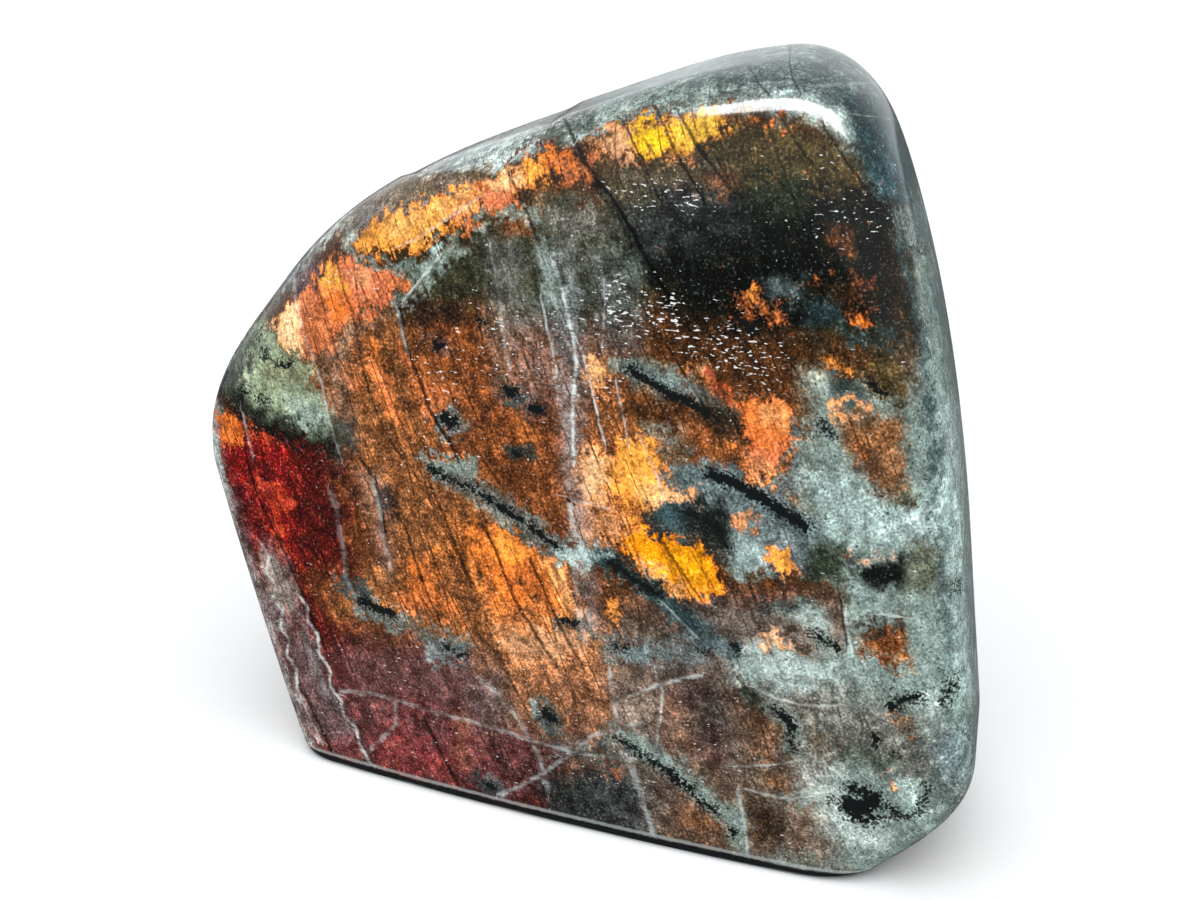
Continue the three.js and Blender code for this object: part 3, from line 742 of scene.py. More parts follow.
# How squarely a point faces the camera where the seen marks end and the hidden ones begin, and over how
# much each of them fades in.
turning = {
    "edge": 0.02,
    "seenOver": 0.1,
    "hiddenOver": 0.3,
}

# Painted shade: the front's foot darkened where it turns under, in millimetres above the ground.
footShade = {
    "colour": "night",
    "top": 2.2,
    "edge": 0.6,
}

# What the hidden sides look like: dull grey green stone with muted bronze flashes. A sheet of cracks or
# veins has its direction, its places along that, the half width of a line and a seed.
hiddenSides = {
    "grounds": ["slate", "ash", "steel", "olive", "taupe", "sage"],
    "groundSize": 26,
    "groundSpread": 0.9,
    "groundSeed": 11,
    "flashes": ["russet", "copper", "tan"],
    "flashSize": 17,
    "flashSeed": 21,
    "flashLeast": 0.25,
    "flashEdge": 0.2,
    "flashStrength": 0.7,
    "grainSize": 5,
    "grainSeed": 51,
    "grainLeast": 0.55,
    "grainDepth": 30,
    "grainsFrom": 0.3,
    "leanSize": 30,
    "lean": 3,
    "gateSize": 14,
    "gateSharpness": 3,
    "gateShift": 0.2,
    "lineStrength": 0.8,
    "linesFrom": 0.1,
    "linesOver": 0.5,
    "cracks": ((0.92, 0.12, 0.40), [-58, -47, -41, -29, -22, -10, -3, 9, 15, 28, 36, 44, 57, 63, 78, 90,
        101, 110], 0.25, 31),
    "veins": ((0.35, 0.3, -0.88), [-95, -70, -52, -30, -12, 6], 0.8, 41),
}

# The noises of the stone's fine pattern: lump size in millimetres, how finely each is divided, and
# whether it lies along the cleavage.
cleavageTurn = -23.5
bandSize = (3.6, 30, 24)
noises = {
    "lamella": ((0.5, 18, 6), 3, True),
    "streak": ((4.5, 4.5, 0.35), 2, False),
    "grain": ((0.42, 0.42, 0.42), 2, False),
    "mottle": ((2.4, 2.4, 2.4), 5, False),
    "blotch": ((1.3, 1.3, 1.3), 4, False),
    "speck": ((0.45, 0.45, 0.45), 1, False),
    "glint": ((1.2, 1.2, 0.36), 1, False),
    "edge": ((0.9, 0.9, 0.9), 3, False),
    "mingling": ((1.5, 1.5, 1.5), 6, False),
}

farAway = 1e9


def smooth(value):
    step = np.clip(value, 0, 1)
    return step * step * (3 - 2 * step)


def unit(vector):
    vector = np.asarray(vector, float)
    return vector / np.linalg.norm(vector)


# The camera's place in millimetres and its three directions: out of the picture, right and up.
def cameraAxes():
    turn, lift = math.radians(view["azimuth"]), math.radians(view["elevation"])
    back = np.array((math.sin(turn) * math.cos(lift), -math.cos(turn) * math.cos(lift), math.sin(lift)))
    across = unit(np.cross(-back, (0, 0, 1)))
    up = np.cross(across, -back)
    return np.array(view["aim"]) + back * view["distance"], back, across, up


def toPixels(points):
    place, back, across, up = cameraAxes()
    focal = view["imageWidth"] * view["lens"] / view["sensor"]
    reach = (points - place) @ -back
    spot = np.stack(((points - place) @ across, -(points - place) @ up), axis=1)
    return spot * focal / reach[:, None] + (view["imageWidth"] / 2, view["imageHeight"] / 2)


# How far points stand outside the ground faces, negative inside.
def outside(points):
    total = np.full(len(points), -float(shape["height"]))
    for at, facing, edge, dome in shape["faces"].values():
        offset = points - at
        distance = offset @ unit(facing)
        if dome:
            distance += offset[:, 0] ** 2 / (2 * dome[0]) + offset[:, 2] ** 2 / (2 * dome[1])
        overlap = np.maximum(edge - np.abs(total - distance), 0) / edge
        total = np.maximum(total, distance) + overlap ** 2 * edge / 4
    return total


def slope(points):
    reach = 0.05
    sides = [outside(points + reach * axis) - outside(points - reach * axis) for axis in np.eye(3)]
    lean = np.stack(sides, axis=1)
    return lean / np.linalg.norm(lean, axis=1)[:, None]


# Each point is moved along its line from the heart to the surface, found by halving.
def onSurface(points):
    heart = np.array(shape["heart"])
    line = points - heart
    line /= np.linalg.norm(line, axis=1)[:, None]
    low = np.zeros(len(points))
    high = np.full(len(points), float(shape["width"] + shape["height"]))
    for _ in range(shape["halvings"]):
        middle = (low + high) / 2
        far = outside(heart + line * middle[:, None]) > 0
        high = np.where(far, middle, high)
        low = np.where(far, low, middle)
    return heart + line * low[:, None]


# Fractal noise at each point, about -1 to 1, with lumps of the given size. Each seed takes it elsewhere.
def wander(points, size, seed, octaves=3):
    roughness, narrowing = 0.8, 2.1
    shift = Vector((seed * 7.31, seed * 3.17, seed * 5.73))
    places = (Vector(point) + shift for point in points / size)
    return np.array([noise.fractal(place, roughness, narrowing, octaves) for place in places])


# The front is cut twice as finely as the rest, because it carries the marks that show.
def cutCube():
    bm = bmesh.new()
    bmesh.ops.create_cube(bm, size=1)
    for axis, cuts in enumerate((shape["cutsAcross"], shape["cutsDeep"], shape["cutsUp"])):
        along = [e for e in bm.edges if abs(e.verts[0].co[axis] - e.verts[1].co[axis]) > 0.5]
        bmesh.ops.subdivide_edges(bm, edges=along, cuts=cuts, use_grid_fill=True)
    nearFront = -0.499
    frontEdges = {e for f in bm.faces if f.calc_center_median().y < nearFront for e in f.edges}
    bmesh.ops.subdivide_edges(bm, edges=list(frontEdges), cuts=1, use_grid_fill=True)
    size = Vector((shape["width"], shape["depth"], shape["height"]))
    bmesh.ops.scale(bm, vec=size, verts=bm.verts)
    bmesh.ops.translate(bm, vec=(0, 0, shape["height"] / 2), verts=bm.verts)
    return bm


def readPoints(mesh):
    values = np.empty(len(mesh.vertices) * 3)
    mesh.vertices.foreach_get("co", values)
    return values.reshape(-1, 3)


# For each spot, the distance to a line of pixels and which side of it the spot lies on.
def sideOfLine(spots, line):
    nearest = np.full(len(spots), farAway)
    side = np.ones(len(spots))
    for start, end in zip(np.array(line[:-1], float), np.array(line[1:], float)):
        edge = end - start
        offset = spots - start
        along = np.clip(offset @ edge / (edge @ edge), 0, 1)
        distance = np.linalg.norm(offset - along[:, None] * edge, axis=1)
        closer = distance < nearest
        turn = np.sign(edge[0] * offset[:, 1] - edge[1] * offset[:, 0])
        nearest = np.where(closer, distance, nearest)
        side = np.where(closer, np.where(turn == 0, 1, turn), side)
    return nearest, side


# How far spots lie inside an outline, negative outside.
def insideBy(spots, outline):
    corners = np.array(outline, float)
    nearest, _ = sideOfLine(spots, list(outline) + [outline[0]])
    inside = np.zeros(len(spots), bool)
    for start, end in zip(corners, np.roll(corners, -1, axis=0)):
        if start[1] == end[1]:
            continue
        crosses = (start[1] > spots[:, 1]) != (end[1] > spots[:, 1])
        lean = (end[0] - start[0]) / (end[1] - start[1])
        inside ^= crosses & (spots[:, 0] < start[0] + (spots[:, 1] - start[1]) * lean)
    return np.where(inside, nearest, -nearest)


# How fully spots are covered by an outline whose edge is soft on both sides.
def coverOf(spots, outline, soft):
    return smooth((insideBy(spots, outline) + soft) / (2 * soft))


# The spots near a run of pixels, so that only those are worked out.
def nearby(spots, line, margin):
    low, high = np.min(line, axis=0) - margin, np.max(line, axis=0) + margin
    return np.flatnonzero(np.all((spots > low) & (spots < high), axis=1))


def cutFlake(points):
    middle, front = flake["floorAt"]
    floor = front + (points[:, 0] - middle) * math.tan(flake["floorTurn"])
    share = smooth(insideBy(points[:, (0, 2)], flake["outline"]) / flake["edge"])
    missing = np.where(points[:, 1] < 0, np.maximum(floor - points[:, 1], 0), 0)
    points[:, 1] += share * missing


def cutHollows(points, normals):
    spots = toPixels(points)
    facing = normals @ cameraAxes()[1]
    for depth, soft, outline in hollows.values():
        which = nearby(spots, outline, soft)
        share = coverOf(spots[which], outline, soft) * (facing[which] > 0)
        points[which] -= normals[which] * (depth * share)[:, None]


def shapeStone():
    bm = cutCube()
    mesh = bpy.data.meshes.new("polishedStone")
    bm.to_mesh(mesh)
    bm.free()
    points = onSurface(readPoints(mesh))
    normals = slope(points)
    waves = wander(points, shape["wavelength"], shape["waveSeed"], 2)
    points += normals * (waves * shape["waviness"])[:, None]
    cutFlake(points)
    cutHollows(points, normals)
    points[:, 2] = np.maximum(points[:, 2], 0)
    mesh.vertices.foreach_set("co", (points * mm).ravel())
    mesh.polygons.foreach_set("use_smooth", [True] * len(mesh.polygons))
    mesh.update()
    stone = bpy.data.objects.new("polishedStone", mesh)
    bpy.context.collection.objects.link(stone)
    print("stone shaped:", len(mesh.vertices), "points,", len(mesh.polygons), "faces")
    return stone, points, normals


def keepValue(mesh, name, values):
    layer = mesh.attributes.new(name, "FLOAT", "POINT")
    layer.data.foreach_set("value", values.astype(np.float32))


def keepVector(mesh, name, values):
    layer = mesh.attributes.new(name, "FLOAT_VECTOR", "POINT")
    layer.data.foreach_set("vector", values.astype(np.float32).ravel())


# Colours go from the eye's scale to amounts of light.
def keepColour(mesh, name, colours):
    part = np.clip(colours / 255, 0, 1)
    linear = np.where(part <= 0.04045, part / 12.92, ((part + 0.055) / 1.055) ** 2.4)
    layer = mesh.attributes.new(name, "FLOAT_COLOR", "POINT")
    layer.data.foreach_set("color", np.concatenate((linear, np.ones((len(part), 1))), axis=1).ravel())


def keepPaint(mesh, paint, name):
    keepColour(mesh, "ground" + name, paint["ground"])
    keepColour(mesh, "tint" + name, paint["tint"])
    keepValue(mesh, "flash" + name, paint["flash"])
    keepValue(mesh, "grit" + name, paint["grit"])


# What of the stone the photo shows: each point, its pixel, and how far it is shown or hidden.
def seenFrom(points, normals):
    toCamera = cameraAxes()[0] - points
    facing = np.sum(normals * toCamera, axis=1) / np.linalg.norm(toCamera, axis=1)
    return {
        "points": points,
        "spots": toPixels(points),
        "hidden": smooth((turning["edge"] - facing) / turning["hiddenOver"]),
        "shown": smooth((facing - turning["edge"]) / turning["seenOver"]),
    }


# How far the painted edges wander off their outlines, in pixels, in wide waves and short ones.
def driftOf(points, seed, slide=0):
    wideSize, wide = painting["wideWaves"]
    shortSize, short = painting["shortWaves"]
    wideWaves = np.stack((wander(points, wideSize, seed), wander(points, wideSize, seed + 1)), axis=1)
    shortWaves = np.stack((wander(points, shortSize, seed + 2), wander(points, shortSize, seed + 3)), axis=1)
    return wideWaves * wide + shortWaves * short + slide * np.array(painting["slideAlong"])


def plainPaint(count):
    return {
        "ground": np.tile(np.array(palette["brown"][:3], float), (count, 1)),
        "tint": np.tile(np.array(palette["orange"][:3], float), (count, 1)),
        "flash": np.zeros(count),
        "grit": np.full(count, painting["plainGrit"]),
    }


def layPaint(paint, which, cover, name):
    red, green, blue, glow, rough = palette[name]
    colour = np.array((red, green, blue), float)
    if glow:
        paint["tint"][which] += (colour - paint["tint"][which]) * cover[:, None]
        paint["flash"][which] += (glow - paint["flash"][which]) * cover
    else:
        paint["ground"][which] += (colour - paint["ground"][which]) * cover[:, None]
        paint["flash"][which] *= 1 - cover
        paint["grit"][which] += (rough - paint["grit"][which]) * cover


def paintSeen(paint, spots, drift):
    for name, strength, edge, outline in areas.values():
        soft = edge * painting["softness"]
        which = nearby(spots, outline, soft + painting["areaMargin"])
        layPaint(paint, which, strength * coverOf(spots[which] + drift[which], outline, soft), name)
    for name, strength, width, line in haloes.values():
        which = nearby(spots, line, width + painting["haloMargin"])
        distance, _ = sideOfLine(spots[which] + drift[which], line)
        cover = smooth((painting["haloReach"] * width - distance) / (painting["haloEdge"] * width))
        layPaint(paint, which, strength * cover, name)


def paintHidden(paint, points, hidden):
    every = np.arange(len(points))
    lumps = wander(points, hiddenSides["groundSize"], hiddenSides["groundSeed"], 4)
    order = (lumps * hiddenSides["groundSpread"] + 0.5) * len(hiddenSides["grounds"])
    for step, name in enumerate(hiddenSides["grounds"]):
        layPaint(paint, every, hidden * smooth(order - step + 0.5), name)
    for step, name in enumerate(hiddenSides["flashes"]):
        patches = wander(points, hiddenSides["flashSize"], hiddenSides["flashSeed"] + step, 3)
        cover = smooth((patches - hiddenSides["flashLeast"]) / hiddenSides["flashEdge"])
        layPaint(paint, every, hidden * hiddenSides["flashStrength"] * cover, name)


# Painted shade: the front's foot is laid dark where it turns under.
def paintFootShade(paint, points, shown):
    cover = shown * smooth((footShade["top"] - points[:, 2]) / footShade["edge"])
    layPaint(paint, np.arange(len(points)), cover, footShade["colour"])


# Signed distances to lines, in half widths, in three sets so that neighbours never share one.
def layLines(spots, lines, shown):
    most = painting["mostWidths"]
    sides = np.full((len(spots), 3), float(most))
    amounts = np.zeros((len(spots), 3))
    reached = np.full((len(spots), 3), farAway)
    for place, (width, strength, line) in enumerate(lines.values()):
        which = nearby(spots, line, painting["lineMargin"])
        channel = place % 3
        distance, side = sideOfLine(spots[which], line)
        closer = distance < reached[which, channel]
        which, distance, side = which[closer], distance[closer], side[closer]
        reached[which, channel] = distance
        sides[which, channel] = np.clip(distance * side / width, -most, most)
        ending = smooth((distance - painting["lineEnd"]) / painting["lineEnd"])
        amounts[which, channel] = strength * shown[which] * (1 - ending)
    return sides, amounts


# On the hidden sides cracks and veins are flat sheets through the stone, which come and go.
def laySheets(sides, amounts, seen, facing, places, halfWidth, seed):
    hidden = smooth((seen["hidden"] - hiddenSides["linesFrom"]) / hiddenSides["linesOver"])
    which = np.flatnonzero(hidden > 0)
    points = seen["points"][which]
    depth = points @ unit(facing) + wander(points, hiddenSides["leanSize"], seed, 2) * hiddenSides["lean"]
    places = np.array(places, float)
    nearest = np.argmin(np.abs(depth[:, None] - places), axis=1)
    sides[which, 0] = (depth - places[nearest]) * np.where(nearest % 2, -1, 1) / halfWidth
    gate = wander(points, hiddenSides["gateSize"], seed + 1, 2) * hiddenSides["gateSharpness"]
    gate = smooth(gate + hiddenSides["gateShift"])
    amounts[which, 0] = hidden[which] * gate * hiddenSides["lineStrength"]


def paintLines(mesh, seen, drift, name, lines, sheets):
    sides, amounts = layLines(seen["spots"] + drift * painting["lineDrift"], lines, seen["shown"])
    laySheets(sides, amounts, seen, *hiddenSides[sheets])
    keepVector(mesh, name + "s", sides)
    keepVector(mesh, name + "Amounts", amounts)


# How deep inside a black grain each point lies, in pixels, negative outside.
def paintGrains(mesh, seen):
    most = painting["grainReach"]
    depth = np.full(len(seen["points"]), -float(most))
    for width, line in grains.values():
        which = nearby(seen["spots"], line, width + painting["grainMargin"])
        distance, _ = sideOfLine(seen["spots"][which], line)
        depth[which] = np.maximum(depth[which], width - distance)
    lumps = wander(seen["points"], hiddenSides["grainSize"], hiddenSides["grainSeed"], 2)
    hiddenDepth = (lumps - hiddenSides["grainLeast"]) * hiddenSides["grainDepth"]
    hiddenDepth = np.where(seen["hidden"] > hiddenSides["grainsFrom"], hiddenDepth, -most)
    depth = np.where(seen["shown"] > 0.5, depth, hiddenDepth)
    keepValue(mesh, "grains", np.clip(depth, -most, most))


def layFilm(spots, films, least, shown):
    amount = np.full(len(spots), float(least))
    for strength, soft, outline in films.values():
        which = nearby(spots, outline, soft)
        cover = strength * coverOf(spots[which], outline, soft)
        amount[which] = np.maximum(amount[which], cover * shown[which])
    return amount


def paintStone(mesh, points, normals):
    seen = seenFrom(points, normals)
    for name, (seed, slide) in paintings.items():
        paint = plainPaint(len(points))
        paintSeen(paint, seen["spots"], driftOf(points, seed, slide))
        paintHidden(paint, points, seen["hidden"])
        paintFootShade(paint, points, seen["shown"])
        keepPaint(mesh, paint, name)
    drift = driftOf(points, painting["lineSeed"])
    paintLines(mesh, seen, drift, "crack", cracks, "cracks")
    paintLines(mesh, seen, drift, "strand", strands, "veins")
    paintGrains(mesh, seen)
    drifted = seen["spots"] + drift
    keepValue(mesh, "glints", layFilm(drifted, glints, painting["leastGlint"], seen["shown"]))
    keepValue(mesh, "veils", layFilm(drifted, veils, 0, seen["shown"]))
    print("stone painted")


# A node of the given kind. Settings are its own options, and inputs are numbers, colours or sockets.
def addNode(tree, kind, inputs=None, **settings):
    node = tree.nodes.new("ShaderNode" + kind)
    for name, value in settings.items():
        setattr(node, name, value)
    for name, value in (inputs or {}).items():
        if isinstance(value, bpy.types.NodeSocket):
            tree.links.new(value, node.inputs[name])
        else:
            node.inputs[name].default_value = value
    return node


def attribute(tree, name, output="Fac"):
    return addNode(tree, "Attribute", attribute_name=name).outputs[output]


def maths(tree, operation, first, second=0.0, third=0.0):
    return addNode(tree, "Math", {0: first, 1: second, 2: third}, operation=operation).outputs[0]


# Takes a value from one range to another, level at both ends.
def fade(tree, value, low, high, start=0.0, end=1.0):
    node = addNode(tree, "MapRange", {"Value": value, "From Min": low, "From Max": high, "To Min": start,
        "To Max": end}, interpolation_type="SMOOTHSTEP")
    return node.outputs[0]


def scaled(tree, colour, amount):
    return addNode(tree, "VectorMath", {0: colour, "Scale": amount}, operation="SCALE").outputs[0]


def blended(tree, amount, under, over):
    node = addNode(tree, "Mix", {0: amount, 6: under, 7: over}, data_type="RGBA")
    return node.outputs[2]


# A colour made lighter or darker by a number of stops.
def lit(tree, colour, stops):
    return scaled(tree, colour, maths(tree, "POWER", 2.0, stops))


# Places on the stone in units of the given size in millimetres, leaning with the cleavage or upright.
def inUnitsOf(tree, place, size, leaning):
    turn = math.radians(cleavageTurn) if leaning else 0
    return addNode(tree, "Mapping", {"Vector": place, "Scale": [part * mm for part in size],
        "Rotation": (0, turn, 0)}, vector_type="TEXTURE").outputs[0]


def noiseOf(tree, place, size, detail, leaning):
    lumps = inUnitsOf(tree, place, size, leaning)
    return addNode(tree, "TexNoise", {"Vector": lumps, "Scale": 1, "Detail": detail}).outputs[0]


# Adds to a start value how far each named noise strays from its middle, times its share.
def strayed(tree, marks, shares, start=0.0):
    total = start
    for name, share in shares.items():
        stray = maths(tree, "SUBTRACT", marks[name], 0.5)
        total = maths(tree, "MULTIPLY_ADD", stray, share, total)
    return total


# A cover that weakens as the stone gets grittier.
def lessInGrit(tree, marks, cover, change, rest):
    return maths(tree, "MULTIPLY", cover, maths(tree, "MULTIPLY_ADD", marks["grit"], change, rest))


# Two paintings whose edges wander differently, mingled grain by grain.
def mingled(tree, marks, name, output="Fac"):
    first, second = attribute(tree, name + "First", output), attribute(tree, name + "Second", output)
    if output == "Color":
        return blended(tree, marks["mingle"], first, second)
    return addNode(tree, "Mix", {0: marks["mingle"], 2: first, 3: second}).outputs[0]


# How strongly any of the three sets of lines shows here, full inside `core` half widths.
def lineMask(tree, name, wobble, core, end=1.3):
    sides = attribute(tree, name + "s", "Vector")
    sides = addNode(tree, "VectorMath", {0: sides, 1: wobble}, operation="ADD")
    apart = addNode(tree, "VectorMath", {0: sides.outputs[0]}, operation="ABSOLUTE")
    near = addNode(tree, "MapRange", {"Vector": apart.outputs[0], 7: (core,) * 3, 8: (end,) * 3,
        9: (1, 1, 1), 10: (0, 0, 0)}, data_type="FLOAT_VECTOR", interpolation_type="SMOOTHSTEP")
    amounts = attribute(tree, name + "Amounts", "Vector")
    shown = addNode(tree, "VectorMath", {0: near.outputs[1], 1: amounts}, operation="MULTIPLY")
    parts = addNode(tree, "SeparateXYZ", {0: shown.outputs[0]})
    most = maths(tree, "MAXIMUM", parts.outputs[0], parts.outputs[1])
    return maths(tree, "MAXIMUM", most, parts.outputs[2])


# One random value for each band along the cleavage.
def bandsOf(tree, place):
    cells = addNode(tree, "TexVoronoi", {"Vector": inUnitsOf(tree, place, bandSize, True), "Scale": 1})
    return addNode(tree, "SeparateColor", {0: cells.outputs["Color"]}).outputs[0]


# How the noises mingle the two paintings and make the edges of lines and grains ragged.
raggedness = {
    "lamella": 0.35,
    "mingleEdge": (0.6, 0.74),
    "wobble": {"edge": 2},
    "crackCore": 0.3,
    "grain": {"edge": 14, "grain": 8},
    "grainEdge": (0.6, 2.2),
}


# What the layers of the stone are made from: the noises, and how strongly its main marks show.
def gatherMarks(tree):
    place = addNode(tree, "TexCoord").outputs["Object"]
    marks = {name: noiseOf(tree, place, *kind) for name, kind in noises.items()}
    marks["place"] = place
    mingle = maths(tree, "MULTIPLY_ADD", marks["lamella"], raggedness["lamella"], marks["mingling"])
    marks["mingle"] = fade(tree, mingle, *raggedness["mingleEdge"])
    marks["grit"] = mingled(tree, marks, "grit")
    marks["bands"] = bandsOf(tree, place)
    marks["wobble"] = strayed(tree, marks, raggedness["wobble"])
    marks["crack"] = lineMask(tree, "crack", marks["wobble"], raggedness["crackCore"])
    marks["core"] = attribute(tree, "grains")
    blackGrain = strayed(tree, marks, raggedness["grain"], marks["core"])
    marks["blackGrain"] = fade(tree, blackGrain, *raggedness["grainEdge"])
    return marks


# The ground colours: how many stops each noise adds, less where the stone is gritty.
ground = {
    "stops": {"grain": 7, "mottle": 6.5, "streak": 0.3},
    "inGrit": (-0.6, 1.1),
    "bandStops": {"bands": 0.7},
}


def groundColour(tree, marks):
    stops = lessInGrit(tree, marks, strayed(tree, marks, ground["stops"]), *ground["inGrit"])
    stops = strayed(tree, marks, ground["bandStops"], stops)
    return lit(tree, mingled(tree, marks, "ground", "Color"), stops)


# The flashes: how the noises break them up, and how many stops each adds to them.
flashes = {
    "strength": 1.2,
    "breaks": {"lamella": 0.6, "mottle": 1, "grain": 0.8},
    "edge": (0.24, 1),
    "stops": {"lamella": 1.2, "grain": 4, "mottle": 3, "bands": 0.5},
    "lift": 0.02,
}


def addFlashes(tree, colour, marks):
    flash = maths(tree, "MULTIPLY", mingled(tree, marks, "flash"), flashes["strength"])
    bright = fade(tree, strayed(tree, marks, flashes["breaks"], flash), *flashes["edge"])
    stops = strayed(tree, marks, flashes["stops"], flashes["lift"])
    return blended(tree, bright, colour, lit(tree, mingled(tree, marks, "tint", "Color"), stops))


# Dark blotches with ragged edges.
blotches = {
    "edge": (0.53, 0.63, 0, 0.6),
    "inGrit": (-0.6, 1),
    "shade": 0.3,
}


def addBlotches(tree, colour, marks):
    cover = lessInGrit(tree, marks, fade(tree, marks["blotch"], *blotches["edge"]), *blotches["inGrit"])
    return blended(tree, cover, colour, scaled(tree, colour, blotches["shade"]))


# Milky films, thicker along the streaks, and a pale dust all over.
milk = {
    "clouds": {"mottle": 0.75, "streak": 0.25},
    "cloudEdge": (-0.14, 0.14, 0.2, 1.6),
    "grainEdge": (0.36, 0.64, 0.5, 1.5),
    "dust": (0.6, 0.76, 0, 0.2),
    "colour": (0.42, 0.47, 0.47, 1),
}


def addMilk(tree, colour, marks):
    clouds = fade(tree, strayed(tree, marks, milk["clouds"]), *milk["cloudEdge"])
    film = maths(tree, "MULTIPLY", attribute(tree, "veils"), clouds)
    film = maths(tree, "MULTIPLY", film, fade(tree, marks["grain"], *milk["grainEdge"]))
    film = maths(tree, "ADD", film, fade(tree, marks["grain"], *milk["dust"]))
    return blended(tree, film, colour, milk["colour"])


# Hair cracks between long cells that lie along the cleavage, which come and go. Size in millimetres.
hairCracks = {
    "size": (3.4, 12, 36),
    "scatter": 0.9,
    "edge": (0.012, 0.042, 1, 0),
    "patches": (0.4, 0.6),
    "inGrit": (-0.7, 1),
    "shade": 0.18,
}


def addHairCracks(tree, colour, marks):
    place = inUnitsOf(tree, marks["place"], hairCracks["size"], True)
    cells = addNode(tree, "TexVoronoi", {"Vector": place, "Scale": 1,
        "Randomness": hairCracks["scatter"]}, feature="DISTANCE_TO_EDGE")
    hairs = fade(tree, cells.outputs["Distance"], *hairCracks["edge"])
    hairs = maths(tree, "MULTIPLY", hairs, fade(tree, marks["mottle"], *hairCracks["patches"]))
    cover = lessInGrit(tree, marks, hairs, *hairCracks["inGrit"])
    return blended(tree, cover, colour, scaled(tree, colour, hairCracks["shade"]))


# Black specks in the gritty parts, thick round the black grains.
specks = {
    "least": 0.76,
    "inGrit": -0.12,
    "roundGrains": (-8, 1, 0, 0.2),
    "edge": 0.05,
    "strength": 0.85,
    "colour": (0.003, 0.005, 0.005, 1),
}


def addSpecks(tree, colour, marks):
    least = maths(tree, "MULTIPLY_ADD", marks["grit"], specks["inGrit"], specks["least"])
    least = maths(tree, "SUBTRACT", least, fade(tree, marks["core"], *specks["roundGrains"]))
    cover = fade(tree, maths(tree, "SUBTRACT", marks["speck"], least), 0, specks["edge"])
    return blended(tree, maths(tree, "MULTIPLY", cover, specks["strength"]), colour, specks["colour"])


# The dark cracks, the pale healed ones, whose paleness comes and goes, and the black grains.
lineLook = {
    "crackStrength": 0.95,
    "crackShade": 0.08,
    "strandCore": 0,
    "strandPatches": {"streak": 0.5, "mottle": 1},
    "strandEdge": (-0.15, 0.15, 0.15, 1),
    "strandAndFootHighlightColour": (0.7, 0.76, 0.74, 1),
}


def addCracks(tree, colour, marks):
    cover = maths(tree, "MULTIPLY", marks["crack"], lineLook["crackStrength"])
    return blended(tree, cover, colour, scaled(tree, colour, lineLook["crackShade"]))


def addStrands(tree, colour, marks):
    cover = lineMask(tree, "strand", marks["wobble"], lineLook["strandCore"])
    patches = fade(tree, strayed(tree, marks, lineLook["strandPatches"]), *lineLook["strandEdge"])
    return blended(tree, maths(tree, "MULTIPLY", cover, patches), colour, lineLook["strandAndFootHighlightColour"])


def addBlackGrains(tree, colour, marks):
    return blended(tree, marks["blackGrain"], colour, specks["colour"])


# Painted highlights: white glints of reflected light, which crowd together where the stone is painted with
# them.
glintHighlights = {
    "grain": 0.3,
    "crowding": -0.17,
    "least": 0.78,
    "edge": (0.15, 0.2),
    "strength": 0.8,
    "colour": (0.9, 0.92, 0.92, 1),
}


def addPaintedGlints(tree, colour, marks):
    least = maths(tree, "MULTIPLY_ADD", attribute(tree, "glints"), glintHighlights["crowding"], glintHighlights["least"])
    glint = maths(tree, "MULTIPLY_ADD", marks["grain"], glintHighlights["grain"], marks["glint"])
    cover = fade(tree, maths(tree, "SUBTRACT", glint, least), *glintHighlights["edge"])
    return blended(tree, maths(tree, "MULTIPLY", cover, glintHighlights["strength"]), colour, glintHighlights["colour"])


# Painted shade and highlight: the foot is black where it turns under, below a thin pale line of painted
# highlight. Heights in millimetres.
foot = {
    "wobble": 0.2,
    "highlightBottom": (2, 2.2),
    "highlightTop": (2.6, 3, 0.3, 0),
    "soleShade": (1.6, 2, 1, 0),
}


def addFootShadeAndHighlight(tree, colour, marks):
    height = addNode(tree, "SeparateXYZ", {0: marks["place"]}).outputs["Z"]
    height = maths(tree, "DIVIDE", height, mm)
    height = maths(tree, "MULTIPLY_ADD", marks["wobble"], foot["wobble"], height)
    line = fade(tree, height, *foot["highlightBottom"])
    line = maths(tree, "MULTIPLY", line, fade(tree, height, *foot["highlightTop"]))
    # The thin pale line is a painted highlight on the rounded foot.
    colour = blended(tree, line, colour, lineLook["strandAndFootHighlightColour"])
    # The black sole is painted shade where the foot turns under.
    return blended(tree, fade(tree, height, *foot["soleShade"]), colour, specks["colour"])


# The polish: roughness, the coat over it, and relief of a tenth of a millimetre.
polish = {
    "roughness": 0.15,
    "grainRoughness": 0.3,
    "shine": 0.07,
    "coat": 0.35,
    "coatRoughness": 0.12,
    "lamellaRelief": 0.3,
    "reliefStrength": 0.25,
    "reliefDepth": 0.1,
}


def polishStone(tree, shader, marks):
    roughness = fade(tree, marks["blackGrain"], 0, 1, polish["roughness"], polish["grainRoughness"])
    tree.links.new(roughness, shader.inputs["Roughness"])
    relief = maths(tree, "MULTIPLY", marks["lamella"], polish["lamellaRelief"])
    relief = maths(tree, "SUBTRACT", relief, marks["crack"])
    bump = addNode(tree, "Bump", {"Height": relief, "Strength": polish["reliefStrength"],
        "Distance": polish["reliefDepth"] * mm})
    tree.links.new(bump.outputs[0], shader.inputs["Normal"])
    shader.inputs["Specular IOR Level"].default_value = polish["shine"]
    shader.inputs["Coat Weight"].default_value = polish["coat"]
    shader.inputs["Coat Roughness"].default_value = polish["coatRoughness"]


